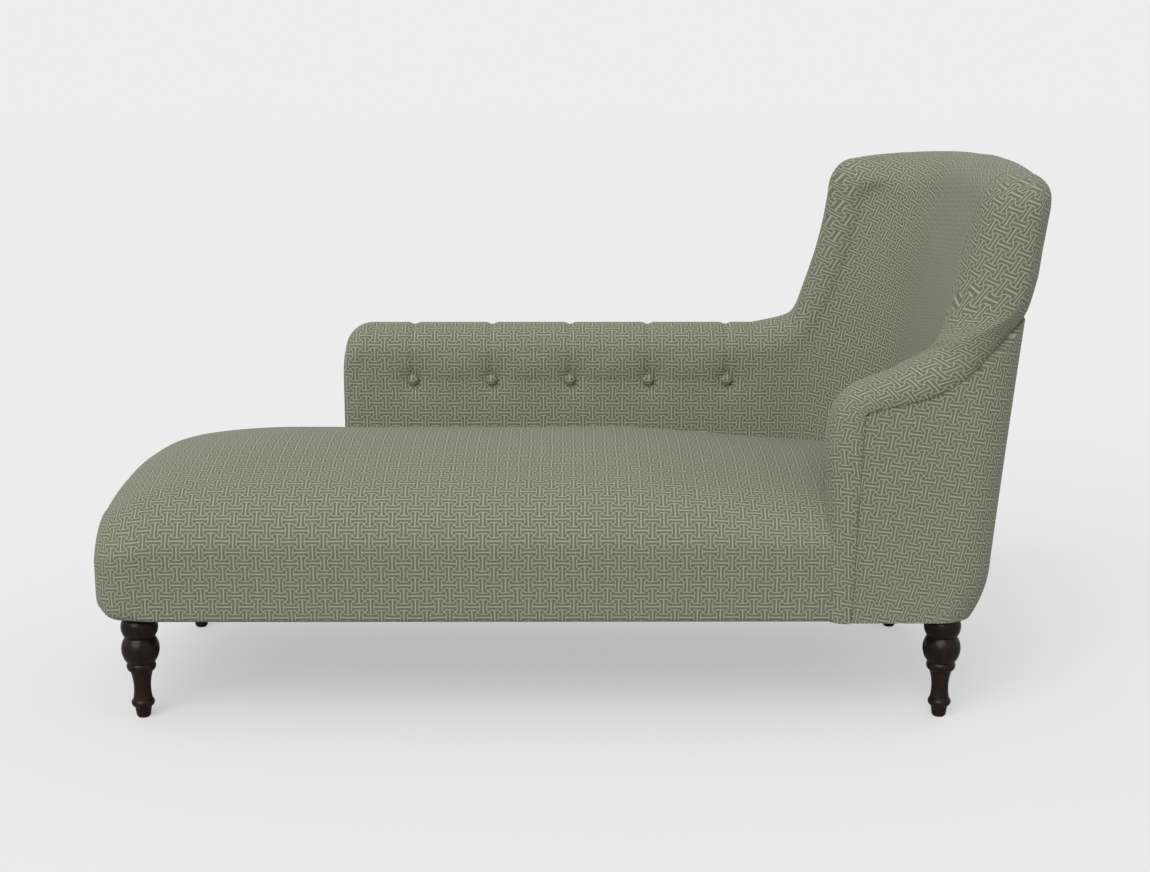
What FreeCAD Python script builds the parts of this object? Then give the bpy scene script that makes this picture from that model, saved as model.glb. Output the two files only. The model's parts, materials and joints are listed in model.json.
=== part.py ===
import FreeCAD, Part
import math
import os

# A chaise longue with tight upholstery: a long crowned seat, a low buttoned
# arm along the far side, a tall back with one far wing, and a short sloping
# near arm whose padded roll runs up the edge of the back. It stands on four
# turned legs. X runs along the seat to the head end, Y away from the near
# side, Z up. The origin is on the floor under the middle of the outline.

V = FreeCAD.Vector
os.makedirs("parts", exist_ok=True)

# Legs
LEG_HEIGHT = 195.0
LEG_NECK = 27.0
LEG_X_FOOT = -753.5
LEG_X_HEAD = 696.5
LEG_Y = 263.0
GLIDE_DIAMETER = 20.0
GLIDE_THICKNESS = 3.0
BOLT_DIAMETER = 8.0
BOLT_LENGTH = 80.0
BOLT_CLEARANCE = 0.5
# Turned leg from the foot up: radius and height of each curve's end, and of the
# point that the curve bends through, where it isn't straight
LEG_TURNING = [((15.0, 19.0), None), ((17.0, 21.0), None), ((17.5, 35.0), (20.8, 28.0)),
               ((20.0, 87.0), (15.3, 58.0)), ((23.0, 89.5), None), ((24.2, 104.0), (26.2, 97.0)),
               ((26.8, 152.5), (34.0, 128.0)), ((29.0, 187.0), (33.2, 171.0))]
LEG_FOOT_RADIUS = 12.5

# Seat
SEAT_NEAR = -320.0
SEAT_FAR = 330.0
SEAT_FOOT = -848.5
SEAT_HEAD = 700.0
SEAT_CROWN = 465.0
SEAT_FACE_TOP = 335.0
SEAT_BOW = 30.0
SEAT_CORNER = 66.0
COVER = 2.5
PADDING = 18.5
# Height of the seat crown and of its underside, by distance from the foot end
CROWN_RISE = [(1.0, 306.0), (4.0, 330.0), (12.0, 358.0), (24.0, 381.0), (45.0, 405.0),
              (80.0, 430.0), (125.0, 446.0), (190.0, 457.0), (280.0, 463.0), (420.0, 465.0)]
UNDER_RISE = [(1.0, 272.0), (4.0, 250.0), (12.0, 227.0), (24.0, 210.0), (45.0, 198.0), (60.0, 195.0)]

# Far arm
ARM_FOOT = -433.0
ARM_INSIDE = 210.0
ARM_CREST = 645.0
ARM_ROLL = 55.0
ARM_END_RADIUS = 55.0
BUTTON_COUNT = 5
BUTTON_PITCH = 158.5
BUTTON_FIRST = -293.0
BUTTON_HEIGHT = 536.0
BUTTON_DIAMETER = 22.0
BUTTON_DEPTH = 9.0
ARM_SWELL = 4.0
TUFT_DEPTH = 7.0

# Back and wing
BACK_INSIDE = 650.0
BACK_OUTSIDE = 779.0
CORNER_RADIUS = 200.0
REAR_RADIUS = 110.0
BACK_END = -245.0
# Lean of the back: forward shift of the inside and of the outside, by height
LEAN_INSIDE = [(195.0, -15.0), (650.0, 17.0), (800.0, 45.0), (1000.0, 98.0)]
LEAN_OUTSIDE = [(195.0, -33.0), (222.0, -17.0), (248.0, -10.0), (299.0, -2.0),
                (427.0, 9.0), (578.0, 23.0), (701.0, 34.0), (822.0, 50.0), (942.0, 67.0),
                (1000.0, 74.0)]
# Front edge of the wing, from the top of the arm up: crest point, start of the
# padded roll, and place at the seat, as distances along the seat and heights
WING_EDGE = [((400.0, 646.0), (400.0, 591.0), 400.0), ((430.0, 652.0), (436.0, 597.0), 420.0),
             ((454.0, 658.0), (466.0, 603.0), 440.0), ((472.0, 668.0), (492.0, 618.0), 458.0),
             ((483.0, 689.0), (518.0, 650.0), 474.0), ((492.0, 718.0), (540.0, 690.0), 490.0),
             ((503.0, 755.0), (558.0, 733.0), 505.0), ((516.0, 802.0), (574.0, 786.0), 518.0),
             ((528.0, 852.0), (588.0, 840.0), 530.0), ((537.0, 900.0), (598.0, 884.0), 541.0),
             ((544.0, 940.0), (606.0, 908.0), 552.0), ((560.0, 968.0), (616.0, 920.0), 564.0),
             ((592.0, 980.0), (632.0, 926.0), 580.0)]
# Crest height along the back, by distance towards the far side
BACK_CREST = [(-255.0, 984.0), (-195.0, 991.0), (-115.0, 996.0), (5.0, 998.0),
              (155.0, 992.0), (330.0, 983.0)]

# Near arm and its padded roll
NEAR_FACE = -325.0
NEAR_INSIDE = -215.0
NEAR_CORNER = 70.0
NEAR_END = 12.0
BACK_HOLLOW = 300.0
# Lean of the front of the near arm, backwards up and inwards
ARM_LEAN = 0.0361
ARM_SKEW = 0.034
# The roll, from the bottom of the arm front to the top of the back: inner edge,
# outer edge, direction that it faces, depth
ROLL = [((524.0, -212.0, 195.0), (520.0, -328.0, 195.0), (-1.0, 0.0, 0.0), 43.0),
        ((528.0, -212.0, 300.0), (524.0, -328.0, 300.0), (-1.0, 0.0, 0.0), 48.5),
        ((532.0, -212.0, 420.0), (528.0, -328.0, 425.0), (-1.0, 0.0, 0.0), 53.0),
        ((536.0, -212.0, 530.0), (532.5, -328.0, 542.0), (-1.0, 0.0, 0.05), 58.5),
        ((537.0, -212.0, 553.0), (533.5, -328.0, 566.0), (-0.9, 0.0, 0.44), 54.0),
        ((545.0, -212.0, 566.0), (541.0, -328.0, 576.0), (-0.6, 0.0, 0.8), 51.0),
        ((560.0, -212.0, 573.0), (558.0, -328.0, 581.0), (-0.36, 0.0, 0.93), 52.0),
        ((602.0, -212.0, 586.0), (602.0, -328.0, 591.0), (-0.28, 0.0, 0.96), 57.0),
        ((630.0, -213.0, 601.0), (656.0, -329.0, 607.0), (-0.32, -0.1, 0.94), 62.0),
        ((650.0, -222.0, 622.0), (706.0, -321.0, 632.0), (-0.42, -0.36, 0.83), 62.0),
        ((660.0, -240.0, 655.0), (750.0, -305.0, 665.0), (-0.48, -0.62, 0.62), 64.0),
        ((671.0, -245.0, 690.0), (782.0, -280.0, 697.0), (-0.38, -0.84, 0.36), 71.0),
        ((682.0, -245.0, 736.0), (808.0, -256.0, 732.0), (-0.16, -0.97, 0.16), 79.0)]
ROLL_DEPTH = 85.0
ROLL_INNER_RADIUS = 70.0
ROLL_OUTER_RADIUS = 26.0

# Frame
RAIL_HEIGHT = 90.0
RAIL_THICKNESS = 25.0
FRAME_CORNER = 66.0
LEG_INSET = 36.5
POST_WIDTH = 42.0
POST_THICKNESS = 16.0
TOP_RAIL_HEIGHT = 26.0
TOP_RAIL_DROP = 46.0
BACK_POST_TOP = 918.0
BACK_POST_LEAN = 70.0
BACK_RAIL_HEIGHT = 50.0
CORNER_POST_SET = 11.0
MID_RAIL_LEVEL = 440.0
BACK_WEBS = 4
CROSS_RAIL_THICKNESS = 22.0
BLOCK_HEIGHT = 45.0
NUT_DIAMETER = 20.0
NUT_THICKNESS = 3.0
TIE_DIAMETER = 2.0
TOGGLE_DIAMETER = 16.0
TOGGLE_THICKNESS = 2.0
CROSS_RAILS = 3
BLOCK_LEG = 95.0
DUST_COVER = 1.5
WEB_WIDTH = 50.0
WEB_THICKNESS = 2.0
CROSS_WEBS = 9
LONG_WEBS = 3
HESSIAN = 1.5
FIT = 0.5
# Gaps between a cover and the piece that it meets in a curve: at the seat's corner,
# under the roll, and between the padding under the roll and the roll's
CORNER_GAP = 1.5
ROLL_GAP = 3.0
PADDING_GAP = 14.0

UNDERSIDE = LEG_HEIGHT + DUST_COVER
RAIL_TOP = UNDERSIDE + RAIL_HEIGHT
DECK = RAIL_TOP + 2 * WEB_THICKNESS + HESSIAN
RAIL_NEAR = SEAT_NEAR + COVER + PADDING
RAIL_FAR = SEAT_FAR - COVER - PADDING
RAIL_FOOT = LEG_X_FOOT - LEG_INSET
RAIL_HEAD = LEG_X_HEAD + LEG_INSET
FAR_LAP = RAIL_FAR + POST_THICKNESS
NEAR_LAP = RAIL_NEAR - POST_THICKNESS


def save(name, shapes):
    """Write one sub-part, a single solid or a group of equal ones."""
    solids = []
    for shape in shapes:
        solids.extend(shape.Solids)
    body = solids[0] if len(solids) == 1 else Part.makeCompound(solids)
    body.exportStep("parts/" + name + ".step")


def table(rows, x):
    """Straight line interpolation in a list of pairs."""
    if x <= rows[0][0]:
        return rows[0][1]
    for (x0, y0), (x1, y1) in zip(rows, rows[1:]):
        if x <= x1:
            return y0 + (y1 - y0) * (x - x0) / (x1 - x0)
    return rows[-1][1]


def block(x0, x1, y0, y1, z0, z1):
    return Part.makeBox(x1 - x0, y1 - y0, z1 - z0, V(x0, y0, z0))


def curve(a, b, c):
    """An arc through three points, or a line where they are in line."""
    a, b, c = V(*a), V(*b), V(*c)
    bend = (b - a).cross(c - a).Length / max((c - a).Length, 1e-6)
    if bend < 0.02 or (c - b).Length < 0.02:
        return [Part.LineSegment(a, c).toShape()]
    return [Part.Arc(a, b, c).toShape()]


def line(a, b):
    return [Part.LineSegment(V(*a), V(*b)).toShape()]


def loft(wires):
    """Solid through the sections, with straight rules and its faces outwards."""
    body = Part.makeLoft(wires, True, True)
    if body.Volume < 0.0:
        body.reverse()
    return body


def slanted(corners, shift, z0, z1):
    """A post whose top is shifted from its foot."""
    wires = []
    for z, move in ((z0, V(0, 0, 0)), (z1, V(*shift, 0))):
        points = [V(x, y, z) + move for x, y in corners]
        wires.append(Part.makePolygon(points + [points[0]]))
    return loft(wires)


# Seat: sections across the seat, from the foot end to the back
def seat_half_width(d):
    """Half of the plan width at a distance from the foot end."""
    half = (SEAT_FAR - SEAT_NEAR) / 2.0
    straight = half - SEAT_CORNER
    turn = SEAT_BOW * (straight / half) ** 2
    if d < turn:
        return half * math.sqrt(d / SEAT_BOW)
    if d < turn + SEAT_CORNER:
        return straight + math.sqrt(SEAT_CORNER ** 2 - (SEAT_CORNER - d + turn) ** 2)
    return half


def seat_section(x, d, inset, floor):
    mid = (SEAT_FAR + SEAT_NEAR) / 2.0
    w = seat_half_width(d) - inset
    top = table(CROWN_RISE, d) + (SEAT_CROWN - CROWN_RISE[-1][1]) - inset
    under = table(UNDER_RISE, d) + inset
    if d >= UNDER_RISE[-1][0]:
        under = floor
    face = under + (top - under) * (SEAT_FACE_TOP - LEG_HEIGHT) / (SEAT_CROWN - LEG_HEIGHT)
    rise = top - face
    toe = min(8.0 + 24.0 * max(0.0, 1.0 - d / 130.0), 0.15 * w, 0.5 * (face - under))
    edges = line((x, mid - w + toe, under), (x, mid + w - toe, under))
    edges += curve((x, mid + w - toe, under), (x, mid + w - 0.3 * toe, under + 0.3 * toe),
                   (x, mid + w, under + toe))
    edges += line((x, mid + w, under + toe), (x, mid + w, face))
    edges += curve((x, mid + w, face), (x, mid + 0.884 * w, face + 0.5 * rise),
                   (x, mid + 0.623 * w, face + 0.8 * rise))
    edges += curve((x, mid + 0.623 * w, face + 0.8 * rise), (x, mid + 0.33 * w, face + 0.95 * rise),
                   (x, mid, top))
    edges += curve((x, mid, top), (x, mid - 0.33 * w, face + 0.95 * rise),
                   (x, mid - 0.623 * w, face + 0.8 * rise))
    edges += curve((x, mid - 0.623 * w, face + 0.8 * rise), (x, mid - 0.884 * w, face + 0.5 * rise),
                   (x, mid - w, face))
    edges += line((x, mid - w, face), (x, mid - w, under + toe))
    edges += curve((x, mid - w, under + toe), (x, mid - w + 0.3 * toe, under + 0.3 * toe),
                   (x, mid - w + toe, under))
    return Part.Wire(edges)


def seat_body(inset, floor):
    wires = []
    for d in (1.0, 4.0, 10.0, 18.0, 30.0, 45.0, 60.0, 88.0, 125.0, 190.0, 280.0, 420.0):
        wires.append(seat_section(SEAT_FOOT + d + inset, d, inset, floor))
    last = SEAT_HEAD - SEAT_FOOT
    for d in (0.5 * (420.0 + last), last):
        wires.append(seat_section(SEAT_FOOT + d, d, inset, floor))
    return loft(wires)


# Walls: sections across the arm or the back, from the bottom inside, over the
# padded roll at the top, to the bottom outside
def plan(kind, value, z):
    """Inner and outer point of the far wall at a height."""
    xc = BACK_INSIDE - CORNER_RADIUS + table(LEAN_INSIDE, z)
    yc = ARM_INSIDE - CORNER_RADIUS
    back = BACK_OUTSIDE + table(LEAN_OUTSIDE, z)
    if kind == "y":
        return (xc + CORNER_RADIUS, value), (back, value)
    if kind == "x" and value <= xc:
        return (value, ARM_INSIDE), (value, SEAT_FAR)
    angle = math.asin((value - xc) / CORNER_RADIUS) if kind == "x" else math.radians(value)
    s, c = math.sin(angle), math.cos(angle)
    inner = (xc + CORNER_RADIUS * s, yc + CORNER_RADIUS * c)
    first = back - REAR_RADIUS - xc
    bend = 0.5 * math.pi * REAR_RADIUS
    last = SEAT_FAR - REAR_RADIUS - yc
    run = (first + bend + last) * angle / (0.5 * math.pi)
    if run <= first:
        return inner, (xc + run, SEAT_FAR)
    if run >= first + bend:
        return inner, (back, SEAT_FAR - REAR_RADIUS - (run - first - bend))
    turn = (run - first) / REAR_RADIUS
    return inner, (xc + first + REAR_RADIUS * math.sin(turn),
                   SEAT_FAR - REAR_RADIUS + REAR_RADIUS * math.cos(turn))


def between(p, q, inset, z):
    """The two points moved towards each other."""
    span = math.hypot(q[0] - p[0], q[1] - p[1])
    nx, ny = (q[0] - p[0]) / span, (q[1] - p[1]) / span
    return ((p[0] + nx * inset[0], p[1] + ny * inset[0], z),
            (q[0] - nx * inset[1], q[1] - ny * inset[1], z))


def wall_lines(low, start, crest, inset, floor, skirt, swell, tuft, thin, where):
    """Profile of a wall in two runs: up the inside and over the roll, then down
    the outside. Each run is a list of curves, each given by three points."""
    place = max(floor, LEG_HEIGHT)
    z_start = start[2] - inset
    z_crest = crest[2] - inset - 0.4 * tuft
    waist = min(BUTTON_HEIGHT, z_start - 30.0)
    knee = 300.0
    side = inset + thin

    def at(spot, z, push=0.0):
        p, q = where(spot[0], spot[1], z)
        return between(p, q, (side + push, side), z)

    def halfway(a, b):
        return (a[0], 0.5 * (a[1] + b[1])) if a[0] == b[0] else a

    a0 = at(low, place)[0]
    a1 = at(low, waist, tuft)[0]
    a01 = at(low, 0.5 * (place + waist), 0.5 * tuft)[0]
    a12 = at(halfway(low, start), 0.5 * (waist + z_start), -swell)[0]
    a2, b2 = at(start, z_start)
    p, q = at(crest, z_crest)
    c = tuple(0.5 * (u + w) for u, w in zip(p, q))
    b12 = at(halfway(low, start), 0.5 * (knee + z_start))[1]
    b1 = at(low, knee)[1]
    b01 = at(low, skirt + 0.405 * (knee - skirt))[1]
    b0 = at(low, skirt)[1]
    mid = tuple(0.5 * (u + w) for u, w in zip(a2, b2))

    def shoulder(side_point):
        return tuple(mid[i] + 0.71 * (side_point[i] - mid[i]) + 0.7 * (c[i] - mid[i])
                     for i in range(3))

    up = [(a0, a01, a1), (a1, a12, a2), (a2, shoulder(a2), c), (c, shoulder(b2), b2)]
    down = [(b2, b12, b1), (b1, b01, b0)]
    return up, down


def wall_section(low, start, crest, inset, floor, mode, swell=0.0, tuft=0.0, thin=0.0, where=plan):
    """low, start and crest are each a place along the wall, the last two with a height."""
    skirt = floor if mode == "solid" else LEG_HEIGHT
    up, down = wall_lines(low, start, crest, inset, floor, skirt, swell, tuft, thin, where)
    if mode == "solid":
        return closed(up + down)
    up_in, down_in = wall_lines(low, start, crest, inset + COVER, floor, skirt, swell, tuft, thin,
                                where)
    return doubled(up, up_in) if mode == "cover" else doubled(down, down_in)


def closed(run):
    edges = []
    for points in run:
        edges += curve(*points)
    return Part.Wire(edges + line(run[-1][2], run[0][0]))


def doubled(run, inner):
    """The thin strip between a run of curves and the same run moved in."""
    edges = []
    for points in run:
        edges += curve(*points)
    edges += line(run[-1][2], inner[-1][2])
    for a, b, c in reversed(inner):
        edges += curve(c, b, a)
    return Part.Wire(edges + line(inner[0][0], run[0][0]))


def far_arm(inset, floor, mode):
    """The low arm, with a dimple and a pleat at each button."""
    wires = []
    steps = ((COVER, 8.0), (10.0, 3.0), (22.0, 0.5), (36.0, 0.0), (ARM_END_RADIUS, 0.0))
    for d, thin in ((0.0, 14.0), (COVER, 8.0)) if mode == "end" else steps:
        drop = ARM_END_RADIUS - math.sqrt(ARM_END_RADIUS ** 2 - (ARM_END_RADIUS - d) ** 2)
        x = ARM_FOOT + d
        wires.append(wall_section(("x", x), ("x", x, ARM_CREST - ARM_ROLL - drop),
                                  ("x", x, ARM_CREST - drop), inset, floor,
                                  "solid" if mode == "end" else mode, thin=thin))
    if mode == "end":
        return loft(wires)
    for k in range(BUTTON_COUNT):
        x = BUTTON_FIRST + k * BUTTON_PITCH
        for shift, dip in ((-0.5 if k else -0.3, 0.0), (-0.07, 0.3), (0.0, 1.0), (0.07, 0.3)):
            at = x + shift * BUTTON_PITCH
            wires.append(wall_section(("x", at), ("x", at, ARM_CREST - ARM_ROLL),
                                      ("x", at, ARM_CREST), inset, floor, mode,
                                      swell=ARM_SWELL * (1.0 - dip), tuft=TUFT_DEPTH * dip))
    (x, z), (xs, zs), xl = WING_EDGE[0]
    wires.append(wall_section(("x", xl), ("x", xs, zs), ("x", x, z), inset, floor, mode))
    return loft(wires)


def head_spots():
    """Places of the sections of wing, corner and back."""
    spots = [(("x", xl), ("x", xs, zs), ("x", x, z)) for (x, z), (xs, zs), xl in WING_EDGE]
    for low, start, crest in ((48.0, 41.0, 31.0), (55.0, 50.0, 45.0), (62.0, 60.0, 58.0),
                              (70.0, 69.5, 69.0), (80.0, 80.0, 80.0)):
        y = ARM_INSIDE - CORNER_RADIUS + 260.0 * math.cos(math.radians(crest))
        z = table(BACK_CREST, y)
        spots.append((("a", low), ("a", start, z - ARM_ROLL), ("a", crest, z)))
    for y in (ARM_INSIDE - CORNER_RADIUS, -60.0, -120.0, -180.0, BACK_END):
        z = table(BACK_CREST, y)
        spots.append((("y", y), ("y", y, z - ARM_ROLL), ("y", y, z)))
    return spots


def head_wall(inset, floor, mode):
    """Wing, concave corner and back in one run of sections."""
    return loft([wall_section(low, start, crest, inset, floor, mode)
                 for low, start, crest in head_spots()])


def head_room(z0, z1):
    """What the wing and back take of the seat, up to a little above it."""
    wires = []
    r = CORNER_RADIUS - CORNER_GAP
    d = r * math.sqrt(0.5)
    foot, head, far = WING_EDGE[0][2], BACK_OUTSIDE + 60.0, SEAT_FAR + 20.0
    yc = ARM_INSIDE - CORNER_RADIUS
    for z in (z0, z1):
        xc = BACK_INSIDE - CORNER_RADIUS + table(LEAN_INSIDE, z)
        edges = line((foot, yc + r, z), (xc, yc + r, z))
        edges += curve((xc, yc + r, z), (xc + d, yc + d, z), (xc + r, yc, z))
        edges += line((xc + r, yc, z), (xc + r, BACK_END, z))
        edges += line((xc + r, BACK_END, z), (head, BACK_END, z))
        edges += line((head, BACK_END, z), (head, far, z)) + line((head, far, z), (foot, far, z))
        wires.append(Part.Wire(edges + line((foot, far, z), (foot, yc + r, z))))
    return loft(wires)


def arm_front(y, z):
    """Front plane of the near arm, behind the roll."""
    (x, y_in, z_low), _, _, _ = ROLL[0]
    return x + FIT + ARM_LEAN * (z - z_low) + ARM_SKEW * (y - y_in)


def near_plan(kind, value, z, inset):
    """Inner and outer point of the near wall, from the arm front to behind the back."""
    xb = BACK_INSIDE + table(LEAN_INSIDE, z)
    xo = BACK_OUTSIDE + table(LEAN_OUTSIDE, z)
    if kind == "s":
        y_in, y_out = NEAR_INSIDE - inset, NEAR_FACE + inset
        front_in, front_out = arm_front(y_in, z), arm_front(y_out, z)
        return ((front_in + (xb - FIT - front_in) * value, y_in),
                (front_out + (xo - NEAR_CORNER - front_out) * value, y_out))
    if kind == "end":
        return (xo - NEAR_END, BACK_END - FIT), (xo - inset, BACK_END - FIT)
    angle = math.radians(value)
    r = NEAR_CORNER - inset
    inner = xb + (xo - NEAR_END - xb) * (1.0 - value / 90.0)
    outer = (xo - NEAR_CORNER + r * math.cos(angle), NEAR_FACE + NEAR_CORNER - r * math.sin(angle))
    return (inner, BACK_END - FIT), outer


def near_section(spot, inset, floor, mode):
    """Upright section of the near wall, open under the roll."""
    knee = 300.0

    def at(z, more=0.0):
        p, q = near_plan(spot[0], spot[1], z, inset + more)
        return (p[0], p[1], z), (q[0], q[1], z)

    gap = PADDING_GAP if mode == "solid" else ROLL_GAP
    top_out = 700.0
    for _ in range(4):
        top_out = table(ROLL_BASE_OUT, at(top_out)[1][0]) - gap
    top_in = table(ROLL_BASE_IN, at(600.0)[0][0]) - gap
    if spot[0] != "s":
        top_in = top_out
    runs = []
    for more in (0.0, COVER):
        up = [(at(floor, more)[0], at(0.5 * (floor + top_in), more)[0], at(top_in, more)[0])]
        skirt = floor if mode == "solid" else LEG_HEIGHT
        down = [(at(top_out, more)[1], at(0.5 * (top_out + knee), more)[1], at(knee, more)[1]),
                (at(knee, more)[1], at(skirt + 0.405 * (knee - skirt), more)[1], at(skirt, more)[1])]
        runs.append((up, down))
    if mode == "inside":
        return doubled(runs[0][0], runs[1][0])
    if mode == "outside":
        return doubled(runs[0][1], runs[1][1])
    up, down = runs[0]
    return closed(up + [(up[0][2], down[0][0], down[0][0])] + down)


def near_wall(inset, floor, mode):
    spots = [("s", 0.0), ("s", 0.035), ("s", 0.115), ("s", 0.325), ("s", 0.58), ("s", 0.8)]
    if mode == "inside":
        spots.append(("s", 1.0))
    else:
        spots += [("s", 0.99), ("a", 90.0), ("a", 76.0), ("a", 54.0), ("a", 32.0), ("a", 12.0),
                  ("end", 0.0)]
    return loft([near_section(spot, inset, floor, mode) for spot in spots])


def roll_lines(inner, outer, facing, depth, inset, radii):
    """Padded band: flat towards the frame, rounded to its face."""
    p, q, o = V(*inner), V(*outer), V(*facing)
    across = q - p
    width = across.Length - 2.0 * inset
    across.normalize()
    o = o - across * o.dot(across)
    o.normalize()
    p = p + across * inset
    q = q - across * inset
    ri = min(radii[0], 0.55 * width)
    ro = min(radii[1], 0.4 * width)
    d = depth - inset
    f1 = p + across * ri + o * (d - 2.0)
    f2 = q - across * ro + o * (d - 2.0)
    m1 = p + across * (0.29 * ri) + o * (0.71 * d)
    m2 = q - across * (0.29 * ro) + o * (0.74 * d)
    fm = (f1 + f2) * 0.5 + o * 2.0
    run = [(p, m1, f1), (f1, fm, f2), (f2, m2, q)]
    return [tuple(tuple(point) for point in points) for points in run]


def roll_section(inner, outer, facing, depth, inset, radii, mode):
    run = roll_lines(inner, outer, facing, depth, inset, radii)
    if mode == "solid":
        return closed(run)
    return doubled(run, roll_lines(inner, outer, facing, depth, inset + COVER, radii))


def near_roll(inset, mode, low_only=False):
    wires = []
    rows = ROLL[:4] if low_only else ROLL
    for k, (inner, outer, facing, depth) in enumerate(rows):
        radius = 45.0 if k < 9 else ROLL_INNER_RADIUS * 0.85
        wires.append(roll_section(inner, outer, facing, depth, inset,
                                  (radius, ROLL_OUTER_RADIUS), mode))
    if low_only:
        return loft(wires)
    crest = table(BACK_CREST, BACK_END)
    for z, part, depth in ((795.0, 1.0, 1.0), (860.0, 1.0, 1.0), (900.0, 1.0, 1.0),
                           (crest - 54.0, 0.99, 0.98), (crest - 38.0, 0.95, 0.93),
                           (crest - 24.0, 0.83, 0.84), (crest - 12.0, 0.62, 0.68),
                           (crest - 4.0, 0.36, 0.44)):
        xb = BACK_INSIDE + table(LEAN_INSIDE, z)
        xo = BACK_OUTSIDE + table(LEAN_OUTSIDE, z)
        mid, half = 0.5 * (xb + xo), 0.5 * (xo - xb) * part
        low = z - inset if z > crest - 20.0 else z
        wires.append(roll_section((mid - half, BACK_END, low), (mid + half, BACK_END, low),
                                  (0.0, -1.0, 0.0), ROLL_DEPTH * depth, inset,
                                  (ROLL_INNER_RADIUS * part, ROLL_OUTER_RADIUS * part), mode))
    return loft(wires)


def frame_outline(grow, z0, z1):
    """Plan of the base frame, with its corners rounded."""
    shape = block(RAIL_FOOT - grow, RAIL_HEAD + grow, RAIL_NEAR - grow, RAIL_FAR + grow, z0, z1)
    upright = [e for e in shape.Edges if abs(e.Vertexes[0].Z - e.Vertexes[1].Z) > 1.0]
    return shape.makeFillet(FRAME_CORNER + grow, upright)


def turned_leg(x, y):
    at = V(LEG_FOOT_RADIUS, 0.0, GLIDE_THICKNESS)
    edges = line((0.0, 0.0, GLIDE_THICKNESS), tuple(at))
    for (r, z), through in LEG_TURNING:
        if through:
            edges += curve(tuple(at), (through[0], 0.0, through[1]), (r, 0.0, z))
        else:
            edges += line(tuple(at), (r, 0.0, z))
        at = V(r, 0.0, z)
    edges += line(tuple(at), (LEG_NECK, 0.0, at.z + 2.0))
    edges += line((LEG_NECK, 0.0, at.z + 2.0), (LEG_NECK, 0.0, UNDERSIDE))
    edges += line((LEG_NECK, 0.0, UNDERSIDE), (0.0, 0.0, UNDERSIDE))
    edges += line((0.0, 0.0, UNDERSIDE), (0.0, 0.0, GLIDE_THICKNESS))
    leg = Part.Face(Part.Wire(edges)).revolve(V(0, 0, 0), V(0, 0, 1), 360)
    leg = leg.cut(rod(0.0, 0.0, BOLT_DIAMETER + BOLT_CLEARANCE, BOLT_FOOT - 1.0, UNDERSIDE + 1.0))
    leg.translate(V(x, y, 0.0))
    return leg


def rod(x, y, diameter, z0, z1):
    return Part.makeCylinder(diameter / 2.0, z1 - z0, V(x, y, z0))


def across(x, z, diameter, y0, y1):
    return Part.makeCylinder(diameter / 2.0, y1 - y0, V(x, y0, z), V(0, 1, 0))


def button(x):
    """A covered button: a flat rim under a low dome."""
    r = BUTTON_DIAMETER / 2.0
    rim = across(x, BUTTON_HEIGHT, BUTTON_DIAMETER, BUTTON_BACK - BUTTON_RIM, BUTTON_BACK)
    rise = BUTTON_DEPTH - BUTTON_RIM
    ball = (r * r + rise * rise) / (2.0 * rise)
    top = Part.makeSphere(ball, V(x, BUTTON_BACK - BUTTON_DEPTH + ball, BUTTON_HEIGHT))
    dome = top.common(across(x, BUTTON_HEIGHT, BUTTON_DIAMETER, BUTTON_BACK - BUTTON_DEPTH - 1.0,
                             BUTTON_BACK - BUTTON_RIM))
    return rim.fuse(dome).removeSplitter()


ROLL_BASE_IN = [(inner[0], inner[2]) for inner, _, _, _ in ROLL[3:10]]
ROLL_BASE_OUT = [(outer[0], outer[2]) for _, outer, _, _ in ROLL[3:]]
BOLT_FOOT = UNDERSIDE + BLOCK_HEIGHT + NUT_THICKNESS + 6.0 - BOLT_LENGTH
BUTTON_RIM = 3.0
BUTTON_BACK = ARM_INSIDE + TUFT_DEPTH - 2.0
LEG_SPOTS = [(x, y * LEG_Y) for x in (LEG_X_FOOT, LEG_X_HEAD) for y in (-1, 1)]
LEG_NAMES = ["leg_foot_near", "leg_foot_far", "leg_head_near", "leg_head_far"]

# Legs and what fixes them
for name, (x, y) in zip(LEG_NAMES, LEG_SPOTS):
    save(name, [turned_leg(x, y)])
save("leg_glides", [rod(x, y, GLIDE_DIAMETER, 0.0, GLIDE_THICKNESS) for x, y in LEG_SPOTS])
bolts = [rod(x, y, BOLT_DIAMETER, BOLT_FOOT, BOLT_FOOT + BOLT_LENGTH) for x, y in LEG_SPOTS]
save("hanger_bolts", bolts)
block_top = UNDERSIDE + BLOCK_HEIGHT
bore = BOLT_DIAMETER + BOLT_CLEARANCE
nuts = [rod(x, y, NUT_DIAMETER, block_top, block_top + NUT_THICKNESS)
        .cut(rod(x, y, bore, block_top - 1.0, block_top + 9.0)) for x, y in LEG_SPOTS]
save("leg_nuts", nuts)

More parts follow.
